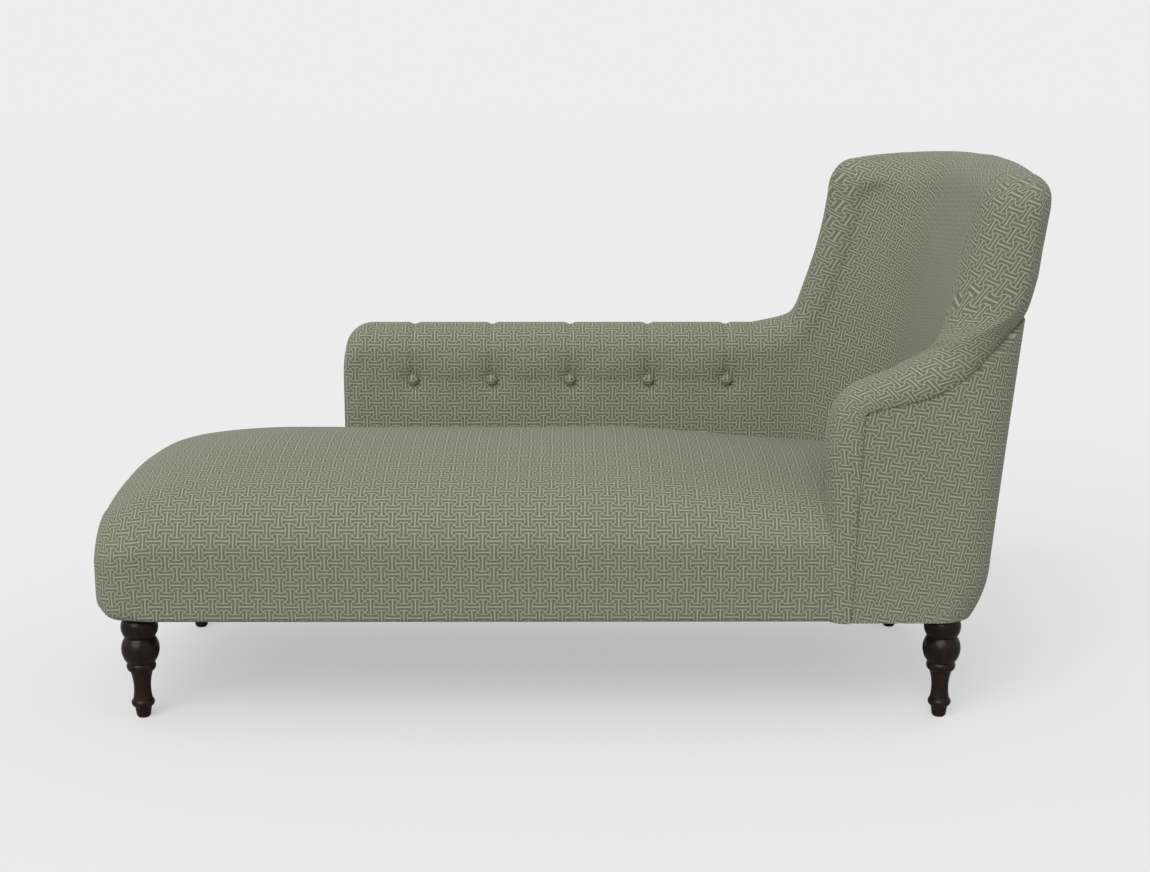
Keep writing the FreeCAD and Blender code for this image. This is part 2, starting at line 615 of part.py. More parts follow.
# Base frame
ring = frame_outline(0.0, UNDERSIDE, RAIL_TOP)
t = RAIL_THICKNESS
low, high = UNDERSIDE - 1.0, RAIL_TOP + 1.0
save("rail_near", [ring.common(block(RAIL_FOOT + t, RAIL_HEAD - t, RAIL_NEAR, RAIL_NEAR + t, low, high))])
save("rail_far", [ring.common(block(RAIL_FOOT + t, RAIL_HEAD - t, RAIL_FAR - t, RAIL_FAR, low, high))])
save("rail_foot", [ring.common(block(RAIL_FOOT, RAIL_FOOT + t, RAIL_NEAR, RAIL_FAR, low, high))])
save("rail_head", [ring.common(block(RAIL_HEAD - t, RAIL_HEAD, RAIL_NEAR, RAIL_FAR, low, high))])
gap = (RAIL_HEAD - RAIL_FOOT) / (CROSS_RAILS + 1)
cross = []
for k in range(1, CROSS_RAILS + 1):
    x = RAIL_FOOT + gap * k - CROSS_RAIL_THICKNESS / 2.0
    cross.append(block(x, x + CROSS_RAIL_THICKNESS, RAIL_NEAR + t, RAIL_FAR - t,
                       UNDERSIDE, RAIL_TOP - 25.0))
save("cross_rails", cross)
blocks = []
for x, y in LEG_SPOTS:
    sx = 1.0 if x < 0 else -1.0
    sy = 1.0 if y < 0 else -1.0
    cx = RAIL_FOOT + t if x < 0 else RAIL_HEAD - t
    cy = RAIL_NEAR + t if y < 0 else RAIL_FAR - t
    points = [V(cx, cy, UNDERSIDE), V(cx + sx * BLOCK_LEG, cy, UNDERSIDE),
              V(cx, cy + sy * BLOCK_LEG, UNDERSIDE)]
    prism = Part.Face(Part.makePolygon(points + [points[0]])).extrude(V(0, 0, BLOCK_HEIGHT))
    blocks.append(prism.cut(rod(x, y, bore, low, block_top + 1.0)))
save("corner_blocks", blocks)

# Seat webbing and its cover cloth
inner_near, inner_far = RAIL_NEAR + 4.0, RAIL_FAR - 4.0
step = (RAIL_HEAD - RAIL_FOOT - 2 * t) / (CROSS_WEBS + 1)
webs = []
for k in range(1, CROSS_WEBS + 1):
    x = RAIL_FOOT + t + step * k - WEB_WIDTH / 2.0
    webs.append(block(x, x + WEB_WIDTH, inner_near, inner_far, RAIL_TOP, RAIL_TOP + WEB_THICKNESS))
save("seat_webbing_across", webs)
step = (RAIL_FAR - RAIL_NEAR) / (LONG_WEBS + 1)
webs = []
for k in range(1, LONG_WEBS + 1):
    y = RAIL_NEAR + step * k - WEB_WIDTH / 2.0
    webs.append(block(RAIL_FOOT + 4.0, RAIL_HEAD - t - FIT, y, y + WEB_WIDTH,
                      RAIL_TOP + WEB_THICKNESS, RAIL_TOP + 2 * WEB_THICKNESS))
save("seat_webbing_along", webs)
cloth_head = RAIL_HEAD - t - CORNER_POST_SET - FIT
save("seat_hessian", [block(RAIL_FOOT + FRAME_CORNER * 0.3, cloth_head, inner_near + 20.0,
                            inner_far - 20.0, RAIL_TOP + 2 * WEB_THICKNESS, DECK)])

# Arm and back frame
def lapped_post(x, y0, y1, shift, bend, top):
    """A post lapped on a rail, upright at the rail and leaning above it."""
    foot = block(x, x + POST_WIDTH, y0, y1, UNDERSIDE + 5.0, bend)
    corners = [(x, y0), (x + POST_WIDTH, y0), (x + POST_WIDTH, y1), (x, y1)]
    if not shift:
        return block(x, x + POST_WIDTH, y0, y1, UNDERSIDE + 5.0, top)
    return foot.fuse(slanted(corners, (shift, 0.0), bend, top)).removeSplitter()


arm_post_top = ARM_CREST - TOP_RAIL_DROP - TOP_RAIL_HEIGHT
first = ARM_FOOT + 38.0
mid_post = BUTTON_FIRST + 1.28 * BUTTON_PITCH
posts = [lapped_post(x, RAIL_FAR, FAR_LAP, 0.0, RAIL_TOP, arm_post_top) for x in (first, mid_post)]
save("far_arm_posts", posts)
wing_foot = WING_EDGE[0][0][0] + 100.0
wing_shift = 190.0
wing_post = lapped_post(wing_foot, RAIL_FAR, FAR_LAP, wing_shift, RAIL_TOP, BACK_POST_TOP)
save("wing_post", [wing_post])
slope = wing_shift / (BACK_POST_TOP - RAIL_TOP)
rail = block(first, wing_foot + 130.0, RAIL_FAR - 12.0, FAR_LAP, arm_post_top,
             arm_post_top + TOP_RAIL_HEIGHT).cut(wing_post)
rail = max(rail.Solids, key=lambda piece: piece.Volume)
save("far_arm_rail", [rail])


def back_front(z):
    """Front face of the leaning back posts."""
    return RAIL_HEAD - t + BACK_POST_LEAN * (z - RAIL_TOP) / (BACK_POST_TOP - RAIL_TOP)


def leaning(y0, y1, z0, z1, front, thick):
    """A flat piece that follows the lean of the back posts."""
    x = back_front(z0) - front
    corners = [(x, y0), (x + thick, y0), (x + thick, y1), (x, y1)]
    return slanted(corners, (back_front(z1) - back_front(z0), 0.0), z0, z1)


near_post_y = NEAR_FACE + 47.0
far_post_y = RAIL_FAR - 41.0
back_post = leaning(near_post_y, near_post_y + POST_WIDTH, RAIL_TOP, BACK_POST_TOP, 0.0, t)
corner_post = leaning(far_post_y, far_post_y + 30.0, RAIL_TOP, BACK_POST_TOP, CORNER_POST_SET, t)
save("back_post", [back_post])
save("corner_post", [corner_post])
between_posts = (near_post_y + POST_WIDTH, far_post_y)
top_rail = leaning(between_posts[0], between_posts[1], BACK_POST_TOP - BACK_RAIL_HEIGHT,
                   BACK_POST_TOP, 0.0, t)
save("back_top_rail", [top_rail])
mid_rail = leaning(between_posts[0], between_posts[1], MID_RAIL_LEVEL,
                   MID_RAIL_LEVEL + BACK_RAIL_HEIGHT, 0.0, t)
save("back_mid_rail", [mid_rail])
wing_top = BACK_POST_TOP - 20.0
wing_x = wing_foot + slope * (wing_top - 45.0 - RAIL_TOP)
wing_rail = block(wing_x, back_front(wing_top - 45.0) - 12.0, RAIL_FAR - POST_THICKNESS, RAIL_FAR,
                  wing_top - 45.0, wing_top)
save("wing_rail", [wing_rail])
web_gap = (BACK_POST_TOP - BACK_RAIL_HEIGHT - MID_RAIL_LEVEL - BACK_RAIL_HEIGHT) / BACK_WEBS
back_webs = []
for k in range(BACK_WEBS):
    z = MID_RAIL_LEVEL + BACK_RAIL_HEIGHT + web_gap * (k + 0.5) - WEB_WIDTH / 2.0
    back_webs.append(leaning(near_post_y + 4.0, between_posts[1] - FIT, z, z + WEB_WIDTH,
                             WEB_THICKNESS, WEB_THICKNESS))
save("back_webbing", back_webs)
back_cloth = leaning(near_post_y + 4.0, between_posts[1] - FIT, MID_RAIL_LEVEL + 4.0,
                     BACK_POST_TOP - 4.0, WEB_THICKNESS + HESSIAN, HESSIAN)
save("back_hessian", [back_cloth])
arm_cloth = block(first, wing_foot - 4.0, RAIL_FAR - HESSIAN, RAIL_FAR, DECK + 4.0, arm_post_top)

near_front = ROLL[3][0][0] + 6.0
near_post = lapped_post(near_front, NEAR_LAP, RAIL_NEAR, 0.0, RAIL_TOP, ROLL[4][0][2])
save("near_arm_post", [near_post])
rise = ROLL[6][0][2] - 50.0
end = back_front(rise + 68.0) - FIT
points = [V(near_front, RAIL_NEAR, rise), V(end, RAIL_NEAR, rise + 68.0),
          V(end, RAIL_NEAR, rise + 96.0), V(near_front, RAIL_NEAR, rise + 28.0)]
near_rail = Part.Face(Part.makePolygon(points + [points[0]])).extrude(V(0, t, 0))
near_rail = near_rail.cut(back_post)
save("near_arm_rail", [near_rail])

# Buttons, their ties through the padding and the toggles behind
spots = [BUTTON_FIRST + k * BUTTON_PITCH for k in range(BUTTON_COUNT)]
buttons = [button(x) for x in spots]
save("arm_buttons", buttons)
ties = [across(x, BUTTON_HEIGHT, TIE_DIAMETER, BUTTON_BACK, RAIL_FAR) for x in spots]
save("button_ties", ties)
toggles = [across(x, BUTTON_HEIGHT, TOGGLE_DIAMETER, RAIL_FAR, RAIL_FAR + TOGGLE_THICKNESS)
           for x in spots]
save("button_toggles", toggles)
for tie in ties:
    arm_cloth = arm_cloth.cut(tie)
save("arm_hessian", [arm_cloth])

# Covers
def largest(shape):
    return max(shape.Solids, key=lambda piece: piece.Volume)


seat, seat_in = seat_body(0.0, LEG_HEIGHT), seat_body(COVER, LEG_HEIGHT - 12.0)
room = frame_outline(FIT, LEG_HEIGHT - 20.0, DECK)
above = SEAT_CROWN + 30.0
arm_room = block(ARM_FOOT - FIT, WING_EDGE[0][2] + 1.0, ARM_INSIDE - FIT, SEAT_FAR + 10.0,
                 LEG_HEIGHT - 20.0, above)
near_room = block(ROLL[0][0][0] - FIT, BACK_INSIDE, NEAR_FACE - 10.0, NEAR_INSIDE + FIT,
                  LEG_HEIGHT - 20.0, above)
behind = block(BACK_INSIDE - 10.0, SEAT_HEAD + 10.0, NEAR_FACE - 10.0, BACK_END,
               LEG_HEIGHT - 20.0, above)
roll_room = near_roll(-FIT, "solid", True)
around = [arm_room, head_room(LEG_HEIGHT - 20.0, above), near_room, behind, roll_room]
save("seat_cover", [largest(seat.cut(seat_in).cut(around + [room]))])
cover = far_arm(0.0, DECK, "cover").cut(buttons + ties)
save("far_arm_cover", [largest(cover)])
save("far_arm_front", [largest(far_arm(0.0, LEG_HEIGHT, "end").cut(room))])
save("far_outside_panel", [far_arm(0.0, LEG_HEIGHT, "panel")])
save("back_cover", [head_wall(0.0, DECK, "cover")])
save("back_outside_panel", [head_wall(0.0, LEG_HEIGHT, "panel")])
save("near_arm_inside_cover", [near_wall(0.0, DECK, "inside")])
save("near_outside_panel", [near_wall(0.0, LEG_HEIGHT, "outside")])
inside_frame = block(0.0, BACK_INSIDE, RAIL_NEAR - FIT, 0.0, LEG_HEIGHT - 20.0, DECK)
save("roll_cover", [largest(near_roll(0.0, "cover").cut(inside_frame))])

# Padding
members = posts + [wing_post, rail, back_post, corner_post, top_rail, mid_rail, wing_rail]
members += back_webs + [back_cloth, arm_cloth, near_post, near_rail] + toggles
under = block(-2000.0, 2000.0, -1000.0, 1000.0, 0.0, UNDERSIDE)


def padding(name, body, others):
    near_by = [m for m in members if body.BoundBox.intersect(m.BoundBox)]
    save(name, [largest(body.cut(others + near_by))])


padding("seat_foam", seat_in, around + [room, under])
padding("far_arm_padding", far_arm(COVER, DECK + FIT, "solid"), buttons + ties)
hollow = [leaning(BACK_END - 10.0, between_posts[1], RAIL_TOP, BACK_POST_TOP, WEB_THICKNESS + HESSIAN,
                  BACK_HOLLOW),
          leaning(between_posts[1] - FIT, SEAT_FAR + 10.0, RAIL_TOP, BACK_POST_TOP, CORNER_POST_SET,
                  BACK_HOLLOW)]
wing_hollow = [(wing_foot, RAIL_FAR - POST_THICKNESS), (wing_foot + BACK_HOLLOW, RAIL_FAR - POST_THICKNESS),
               (wing_foot + BACK_HOLLOW, SEAT_FAR + 10.0), (wing_foot, SEAT_FAR + 10.0)]
hollow.append(slanted(wing_hollow, (wing_shift, 0.0), RAIL_TOP, BACK_POST_TOP))
stuffing = head_wall(COVER, DECK + FIT, "solid")
for space in hollow:
    stuffing = stuffing.cut(space)
save("back_padding", [largest(stuffing)])
padding("near_arm_padding", near_wall(COVER + FIT, DECK + FIT, "solid"), [])
padding("roll_padding", near_roll(COVER, "solid"), [room])

# Dust cover below
sheet = frame_outline(-4.0, LEG_HEIGHT, UNDERSIDE)
for x, y in LEG_SPOTS:
    sheet = sheet.cut(rod(x, y, 2.0 * LEG_NECK + 2.0, LEG_HEIGHT - 1.0, UNDERSIDE + 1.0))
save("dust_cover", [largest(sheet)])
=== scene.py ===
import json
import math
import bpy
import numpy as np
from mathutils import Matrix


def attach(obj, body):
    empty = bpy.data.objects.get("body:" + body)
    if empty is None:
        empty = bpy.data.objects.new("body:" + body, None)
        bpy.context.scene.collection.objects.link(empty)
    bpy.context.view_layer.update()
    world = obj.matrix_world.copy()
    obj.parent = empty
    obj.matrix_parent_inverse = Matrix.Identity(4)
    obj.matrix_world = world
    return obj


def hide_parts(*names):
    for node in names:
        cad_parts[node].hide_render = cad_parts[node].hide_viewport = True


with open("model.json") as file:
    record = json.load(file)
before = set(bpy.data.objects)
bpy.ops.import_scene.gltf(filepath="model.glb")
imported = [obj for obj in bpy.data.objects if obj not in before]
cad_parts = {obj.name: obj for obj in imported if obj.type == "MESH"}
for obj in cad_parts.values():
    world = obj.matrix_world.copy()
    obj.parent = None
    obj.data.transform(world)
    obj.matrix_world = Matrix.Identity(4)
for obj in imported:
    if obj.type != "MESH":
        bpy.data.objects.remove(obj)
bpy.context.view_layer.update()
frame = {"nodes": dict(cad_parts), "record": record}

# Sizes in millimetres, as the part has them; meshes are written in metres
LEG_HEIGHT = 195.0
SEAT_NEAR, SEAT_FAR, SEAT_FOOT, SEAT_END = -320.0, 330.0, -848.5, 655.0
SEAT_CROWN, SEAT_FACE_TOP, SEAT_BOW, SEAT_CORNER = 465.0, 335.0, 30.0, 66.0
# How far the seat's crown sinks towards the back, how far the seat runs into what it
# meets, and where it meets the roll
CROWN_SINK, LAP, ROLL_FRONT = 34.0, 4.0, 505.0
# Height of the seat's top and of its underside, by the distance from the foot end
CROWN = [(1, 306), (4, 330), (12, 358), (24, 381), (45, 405), (80, 430), (125, 446),
         (190, 457), (280, 463), (420, 465)]
UNDER = [(1, 272), (4, 250), (12, 227), (24, 210), (45, 198), (60, 195)]
ARM_FOOT, ARM_INSIDE, ARM_CREST, ARM_ROLL, ARM_END = -433.0, 210.0, 645.0, 55.0, 55.0
BUTTON_PITCH, BUTTON_HEIGHT, BUTTON_SEAT = 158.5, 536.0, 5.0
BUTTONS = [-293.0 + BUTTON_PITCH * k for k in range(5)]
# Outline of a button: radius and depth, from its middle outwards
BUTTON = [(0.6, -9.0), (3.0, -8.8), (6.0, -7.9), (8.5, -6.3), (10.2, -4.2), (11.0, -2.0),
          (11.0, 1.0), (8.0, 2.0)]
BACK_INSIDE, BACK_OUTSIDE, CORNER, REAR, BACK_END = 650.0, 779.0, 200.0, 110.0, -245.0
# Lean of the back's inside and outside, by height
LEAN_IN = [(195, -15), (650, 17), (800, 45), (1000, 98)]
LEAN_OUT = [(195, -33), (222, -17), (248, -10), (299, -2), (427, 9), (578, 23), (701, 34),
            (822, 50), (942, 67), (1000, 74)]
# Front edge of the wing: crest, start of the padded edge, and place at the seat
WING = [((400, 646), (400, 591), 400), ((430, 652), (436, 597), 420), ((454, 658), (466, 603), 440),
        ((472, 668), (492, 618), 458), ((483, 689), (518, 650), 474), ((492, 718), (540, 690), 490),
        ((503, 755), (558, 733), 505), ((516, 802), (574, 786), 518), ((528, 852), (588, 840), 530),
        ((537, 900), (598, 884), 541), ((544, 940), (606, 908), 552), ((560, 968), (616, 920), 564),
        ((592, 980), (632, 926), 580)]
# Height of the back's crest, by the place across
BACK_CREST = [(-255, 984), (-195, 991), (-115, 996), (5, 998), (155, 992), (330, 983)]
NEAR_FACE, NEAR_INSIDE, NEAR_CORNER, NEAR_END = -325.0, -215.0, 70.0, 12.0
NEAR_FRONT, NEAR_RAKE, NEAR_SKEW, ROLL_INSIDE = 524.5, 0.0361, 0.034, -212.0
# Heights where the outside bends above its foot, and the gap to a neighbour
KNEE, LOW_BEND, FIT = 300.0, 237.5, 0.5
# Outside panels: how far in from the wall's outline their face and their back lie, and
# the height of their lower edge
PANEL_FACE, PANEL_BACK, PANEL_FOOT = -1.2, 1.5, 196.5
# Rows of the roll: inner edge, outer edge, direction that it faces, depth
ROLL = [((524, -212, 195), (520, -328, 195), (-1, 0, 0), 43),
        ((528, -212, 300), (524, -328, 300), (-1, 0, 0), 48.5),
        ((532, -212, 420), (528, -328, 425), (-1, 0, 0), 53),
        ((536, -212, 530), (532.5, -328, 542), (-1, 0, .05), 58.5),
        ((537, -212, 553), (533.5, -328, 566), (-.9, 0, .44), 54),
        ((545, -212, 566), (541, -328, 576), (-.6, 0, .8), 51),
        ((560, -212, 573), (558, -328, 581), (-.36, 0, .93), 52),
        ((602, -212, 586), (602, -328, 591), (-.28, 0, .96), 57),
        ((630, -213, 601), (656, -329, 607), (-.32, -.1, .94), 62),
        ((650, -222, 622), (706, -321, 632), (-.42, -.36, .83), 62),
        ((660, -240, 655), (750, -305, 665), (-.48, -.62, .62), 64),
        ((671, -245, 690), (782, -280, 697), (-.38, -.84, .36), 71),
        ((682, -245, 736), (808, -256, 732), (-.16, -.97, .16), 79)]
ROLL_DEPTH, ROLL_RADIUS, ROLL_EDGE = 85.0, 70.0, 26.0
# Points along the curves of the profiles of wall, near arm and roll
UP, DOWN = (44, 18, 22, 18), (14, 8)
NEAR_STEPS, ROLL_STEPS = (16, 3, 16, 8), (18, 12, 12)
# Repeat of the cloth in metres, and its turn on wing and roll in degrees
PATTERN, WING_TURN, ROLL_TURN = 0.0399, 22.0, 20.0
# Floor colour and glow, strength of the world and grey behind the part
FLOOR, GLOW, WORLD, BEHIND = 0.40, 0.43, 0.64, 0.845
# Key light: strength, width in degrees and direction towards it
KEY, KEY_WIDTH, KEY_WAY = 2.0, 50.0, (-0.35, -0.9, 0.75)
# Camera: place in metres, tilt and turn in degrees, lens and sensor
EYE, TILT, TURN, LENS, SENSOR = (0.0235, -3.370, 1.186), 12.07, -0.168, 56.35, 36.0


def table(rows, x):
    """Value at x from rows of x and value."""
    return float(np.interp(x, [r[0] for r in rows], [r[1] for r in rows]))


def smooth(x, a, b):
    """0 at a and 1 at b, with soft ends."""
    t = np.clip((x - a) / (b - a), 0.0, 1.0)
    return t * t * (3.0 - 2.0 * t)


# Curves and surfaces
def arc(a, b, c, n):
    """n points of the arc through a, b and c, without its last point."""
    a, b, c = (np.array(p, float) for p in (a, b, c))
    u, v = b - a, c - a
    w = np.cross(u, v)
    t = np.linspace(0.0, 1.0, n + 1)[:-1]
    if np.linalg.norm(w) < 0.02 * max(np.linalg.norm(v), 1e-6):
        return a + (c - a) * t[:, None]
    off = (v.dot(v) * np.cross(w, u) + u.dot(u) * np.cross(v, w)) / (2.0 * w.dot(w))
    cen = a + off
    e1 = (a - cen) / np.linalg.norm(off)
    e2 = np.cross(w / np.linalg.norm(w), e1)
    end = math.atan2((c - cen).dot(e2), (c - cen).dot(e1)) % (2.0 * math.pi)
    r = np.linalg.norm(off)
    return cen + r * (np.cos(end * t)[:, None] * e1 + np.sin(end * t)[:, None] * e2)


def run_points(run, counts):
    """Points along a run of arcs, with its last point."""
    parts = [arc(*points, n) for points, n in zip(run, counts)]
    return np.vstack(parts + [np.array([run[-1][2]], float)])


def spline(rows, at, places):
    """Smooth rows through the given ones; at are their places."""
    rows, at = np.array(rows, float), np.array(at, float)
    slope = np.empty_like(rows)
    step = np.diff(at)
    chord = np.diff(rows, axis=0) / step[:, None, None]
    slope[0], slope[-1] = chord[0], chord[-1]
    w = (step[1:] / (step[1:] + step[:-1]))[:, None, None]
    slope[1:-1] = chord[:-1] * w + chord[1:] * (1.0 - w)
    out = []
    for x in places:
        k = int(np.clip(np.searchsorted(at, x, side="right") - 1, 0, len(step) - 1))
        h = step[k]
        t = (x - at[k]) / h
        out.append(rows[k] * (2 * t ** 3 - 3 * t ** 2 + 1)
                   + slope[k] * h * (t ** 3 - 2 * t ** 2 + t)
                   + rows[k + 1] * (3 * t ** 2 - 2 * t ** 3)
                   + slope[k + 1] * h * (t ** 3 - t ** 2))
    return np.array(out)


def dense(rows, step):
    """Rows filled in so that neighbours are about step apart."""
    rows = np.array(rows, float)
    gaps = np.linalg.norm(np.diff(rows, axis=0), axis=2).mean(axis=1)
    at = np.concatenate([[0.0], np.cumsum(np.maximum(gaps, 0.01))])
    return spline(rows, at, np.linspace(0.0, at[-1], max(2, int(at[-1] / step) + 1)))


def lengths(points):
    """Distances in metres along the rows and along the columns of a closed grid."""
    ring = np.concatenate([points, points[:, :1]], axis=1) * 0.001
    along = np.zeros(ring.shape[:2])
    along[:, 1:] = np.cumsum(np.linalg.norm(np.diff(ring, axis=1), axis=2), axis=1)
    down = np.zeros(ring.shape[:2])
    down[1:] = np.cumsum(np.linalg.norm(np.diff(ring, axis=0), axis=2), axis=0)
    return down, along


def skin(name, points, u, v, material, edges=()):
    """A closed piece from a grid of points in mm; each row is a ring. The end
    rings and the columns in edges are sharp."""
    rows, cols = points.shape[:2]
    p = points.reshape(-1, 3) * 0.001
    faces, coords = [], []
    for i in range(rows - 1):
        for j in range(cols):
            k = (j + 1) % cols
            faces.append((i * cols + j, i * cols + k, (i + 1) * cols + k, (i + 1) * cols + j))
            coords += [(u[i, j], v[i, j]), (u[i, j + 1], v[i, j + 1]),
                       (u[i + 1, j + 1], v[i + 1, j + 1]), (u[i + 1, j], v[i + 1, j])]
    for i, order in ((0, range(cols - 1, -1, -1)), (rows - 1, range(cols))):
        ring = [i * cols + j for j in order]
        faces.append(tuple(ring))
        coords += [(p[k][1] + 0.4 * p[k][0], p[k][2]) for k in ring]
    mesh = bpy.data.meshes.new(name)
    mesh.from_pydata([tuple(q) for q in p], [], faces)
    layer = mesh.uv_layers.new(name="cloth")
    layer.data.foreach_set("uv", np.array(coords, np.float32).ravel())
    mesh.shade_smooth()
    ends = np.empty(len(mesh.edges) * 2, np.int32)
    mesh.edges.foreach_get("vertices", ends)
    row, col = np.divmod(ends.reshape(-1, 2), cols)
    flat = row[:, 0] == row[:, 1]
    sharp = flat & ((row[:, 0] == 0) | (row[:, 0] == rows - 1))
    sharp |= ~flat & (col[:, 0] == col[:, 1]) & np.isin(col[:, 0], [e % cols for e in edges])
    mesh.attributes.new("sharp_edge", "BOOLEAN", "EDGE").data.foreach_set("value", sharp)
    tri = p[[f[:3] for f in faces[:(rows - 1) * cols]]]
    volume = np.einsum("ij,ij->i", tri[:, 0], np.cross(tri[:, 1], tri[:, 2])).sum()
    if volume < 0.0:
        mesh.flip_normals()
    mesh.materials.append(material)
    piece = bpy.data.objects.new(name, mesh)
    bpy.context.scene.collection.objects.link(piece)
    return piece


# Materials
def tree(name, rough, sheen=0.0):
    """A new material with its nodes, links and shader."""
    mat = bpy.data.materials.new(name)
    mat.use_nodes = True
    nodes, links = mat.node_tree.nodes, mat.node_tree.links
    shader = nodes["Principled BSDF"]
    shader.inputs["Roughness"].default_value = rough
    if sheen:
        shader.inputs["Sheen Weight"].default_value = sheen
    return mat, nodes, links, shader


class Maths:
    """Short ways to write the nodes that repeat."""

    def __init__(self, nodes, links):
        self.nodes, self.links = nodes, links

    def op(self, kind, *values, clamp=False):
        """One operation on numbers and sockets."""
        node = self.nodes.new("ShaderNodeMath")
        node.operation = kind
        node.use_clamp = clamp
        for socket, value in zip(node.inputs, values):
            if isinstance(value, (int, float)):
                socket.default_value = value
            else:
                self.links.new(value, socket)
        return node.outputs[0]

    def ramp(self, value, low, high):
        """0 below low and 1 above high, smooth between."""
        node = self.nodes.new("ShaderNodeMapRange")
        node.interpolation_type = "SMOOTHSTEP"
        self.links.new(value, node.inputs["Value"])
        node.inputs["From Min"].default_value = low
        node.inputs["From Max"].default_value = high
        return node.outputs["Result"]

    def band(self, value, low, high, soft):
        """1 between low and high."""
        up = self.ramp(value, low - soft, low + soft)
        down = self.ramp(value, high + soft, high - soft)
        return self.op("MULTIPLY", up, down)

    def mix(self, factor, a, b):
        """Colour between a and b."""
        node = self.nodes.new("ShaderNodeMix")
        node.data_type = "RGBA"
        for socket, value in ((node.inputs[0], factor), (node.inputs[6], a), (node.inputs[7], b)):
            if isinstance(value, tuple):
                socket.default_value = (*value, 1.0)
            elif isinstance(value, float):
                socket.default_value = value
            else:
                self.links.new(value, socket)
        return node.outputs[2]

    def scaled(self, vector, scale):
        """The vector with each of its axes scaled."""
        node = self.nodes.new("ShaderNodeMapping")
        node.inputs["Scale"].default_value = scale
        self.links.new(vector, node.inputs["Vector"])
        return node.outputs["Vector"]

    def noise(self, vector, scale, detail, rough=0.5):
        """Outputs of a noise texture."""
        node = self.nodes.new("ShaderNodeTexNoise")
        for name, value in (("Scale", scale), ("Detail", detail), ("Roughness", rough)):
            node.inputs[name].default_value = value
        self.links.new(vector, node.inputs["Vector"])
        return node.outputs

    def bump(self, shader, height, strength, distance):
        """Gives the shader the relief of a height."""
        node = self.nodes.new("ShaderNodeBump")
        node.inputs["Strength"].default_value = strength
        node.inputs["Distance"].default_value = distance
        self.links.new(height, node.inputs["Height"])
        self.links.new(node.outputs["Normal"], shader.inputs["Normal"])


def fretwork():
    """Woven cloth with interlaced bars in two directions."""
    mat, nodes, links, shader = tree("fretwork_cloth", 0.92, 0.12)
    m = Maths(nodes, links)
    source = nodes.new("ShaderNodeUVMap")
    source.uv_map = "cloth"
    uv = source.outputs["UV"]
    split = nodes.new("ShaderNodeSeparateXYZ")
    links.new(uv, split.inputs[0])
    drift = m.op("MULTIPLY", m.op("SUBTRACT", m.noise(uv, 9.0, 1.0)["Fac"], 0.5), 0.3)
    # Cells of half a repeat, each folded about its middle and every other one turned,
    # so that a is the distance across a bar and b the one along it
    px = m.op("ADD", m.op("MULTIPLY", split.outputs[0], 2.0 / PATTERN), drift)
    py = m.op("ADD", m.op("MULTIPLY", split.outputs[1], 2.0 / PATTERN), drift)
    parity = m.op("FLOORED_MODULO", m.op("ADD", m.op("FLOOR", px), m.op("FLOOR", py)), 2.0)
    lx = m.op("ABSOLUTE", m.op("SUBTRACT", m.op("FRACT", px), 0.5))
    ly = m.op("ABSOLUTE", m.op("SUBTRACT", m.op("FRACT", py), 0.5))
    swap = m.op("MULTIPLY", m.op("SUBTRACT", ly, lx), parity)
    a = m.op("ADD", lx, swap)
    b = m.op("SUBTRACT", ly, swap)
    # Centre line, outline of the sides, tip and flared end of a bar
    core, soft = 0.06, 0.022
    side = m.op("MULTIPLY", m.band(a, 0.265, 0.345, soft), m.ramp(b, 0.32, 0.28))
    tip = m.op("MULTIPLY", m.ramp(a, 0.33, 0.37), m.ramp(b, core + soft, core - soft))
    slope = m.op("ABSOLUTE", m.op("SUBTRACT", a, b))
    flare = m.op("MULTIPLY", m.ramp(slope, 0.07, 0.03), m.ramp(a, 0.25, 0.29))
    light = m.op("ADD", m.ramp(a, core + soft, core - soft), side)
    light = m.op("ADD", m.op("ADD", light, tip), flare, clamp=True)
    # Uneven yarn, a few reddish flecks and the relief of the weave
    slub = m.noise(uv, 260.0, 3.0, 0.7)
    yarn = m.noise(m.scaled(uv, (900.0, 90.0, 1.0)), 1.0, 2.0)
    factor = light
    for texture, share, last in ((slub, 0.9, False), (yarn, 0.5, True)):
        grain = m.op("MULTIPLY", m.op("SUBTRACT", texture["Fac"], 0.5), share)
        factor = m.op("ADD", factor, grain, clamp=last)
    colour = m.mix(factor, (0.126, 0.132, 0.092), (0.330, 0.337, 0.242))
    blush = m.op("MULTIPLY", m.ramp(slub["Color"], 0.56, 0.72), 0.35)
    links.new(m.mix(blush, colour, (0.30, 0.215, 0.165)), shader.inputs["Base Color"])
    threads = 7400.0
    weave = m.op("MULTIPLY", m.op("SINE", m.op("MULTIPLY", split.outputs[0], threads)),
                 m.op("SINE", m.op("MULTIPLY", split.outputs[1], threads)))
    height = m.op("ADD", m.op("MULTIPLY", weave, 0.25), m.op("MULTIPLY", light, 0.45))
    m.bump(shader, m.op("ADD", height, slub["Fac"]), 0.35, 0.0006)
    return mat


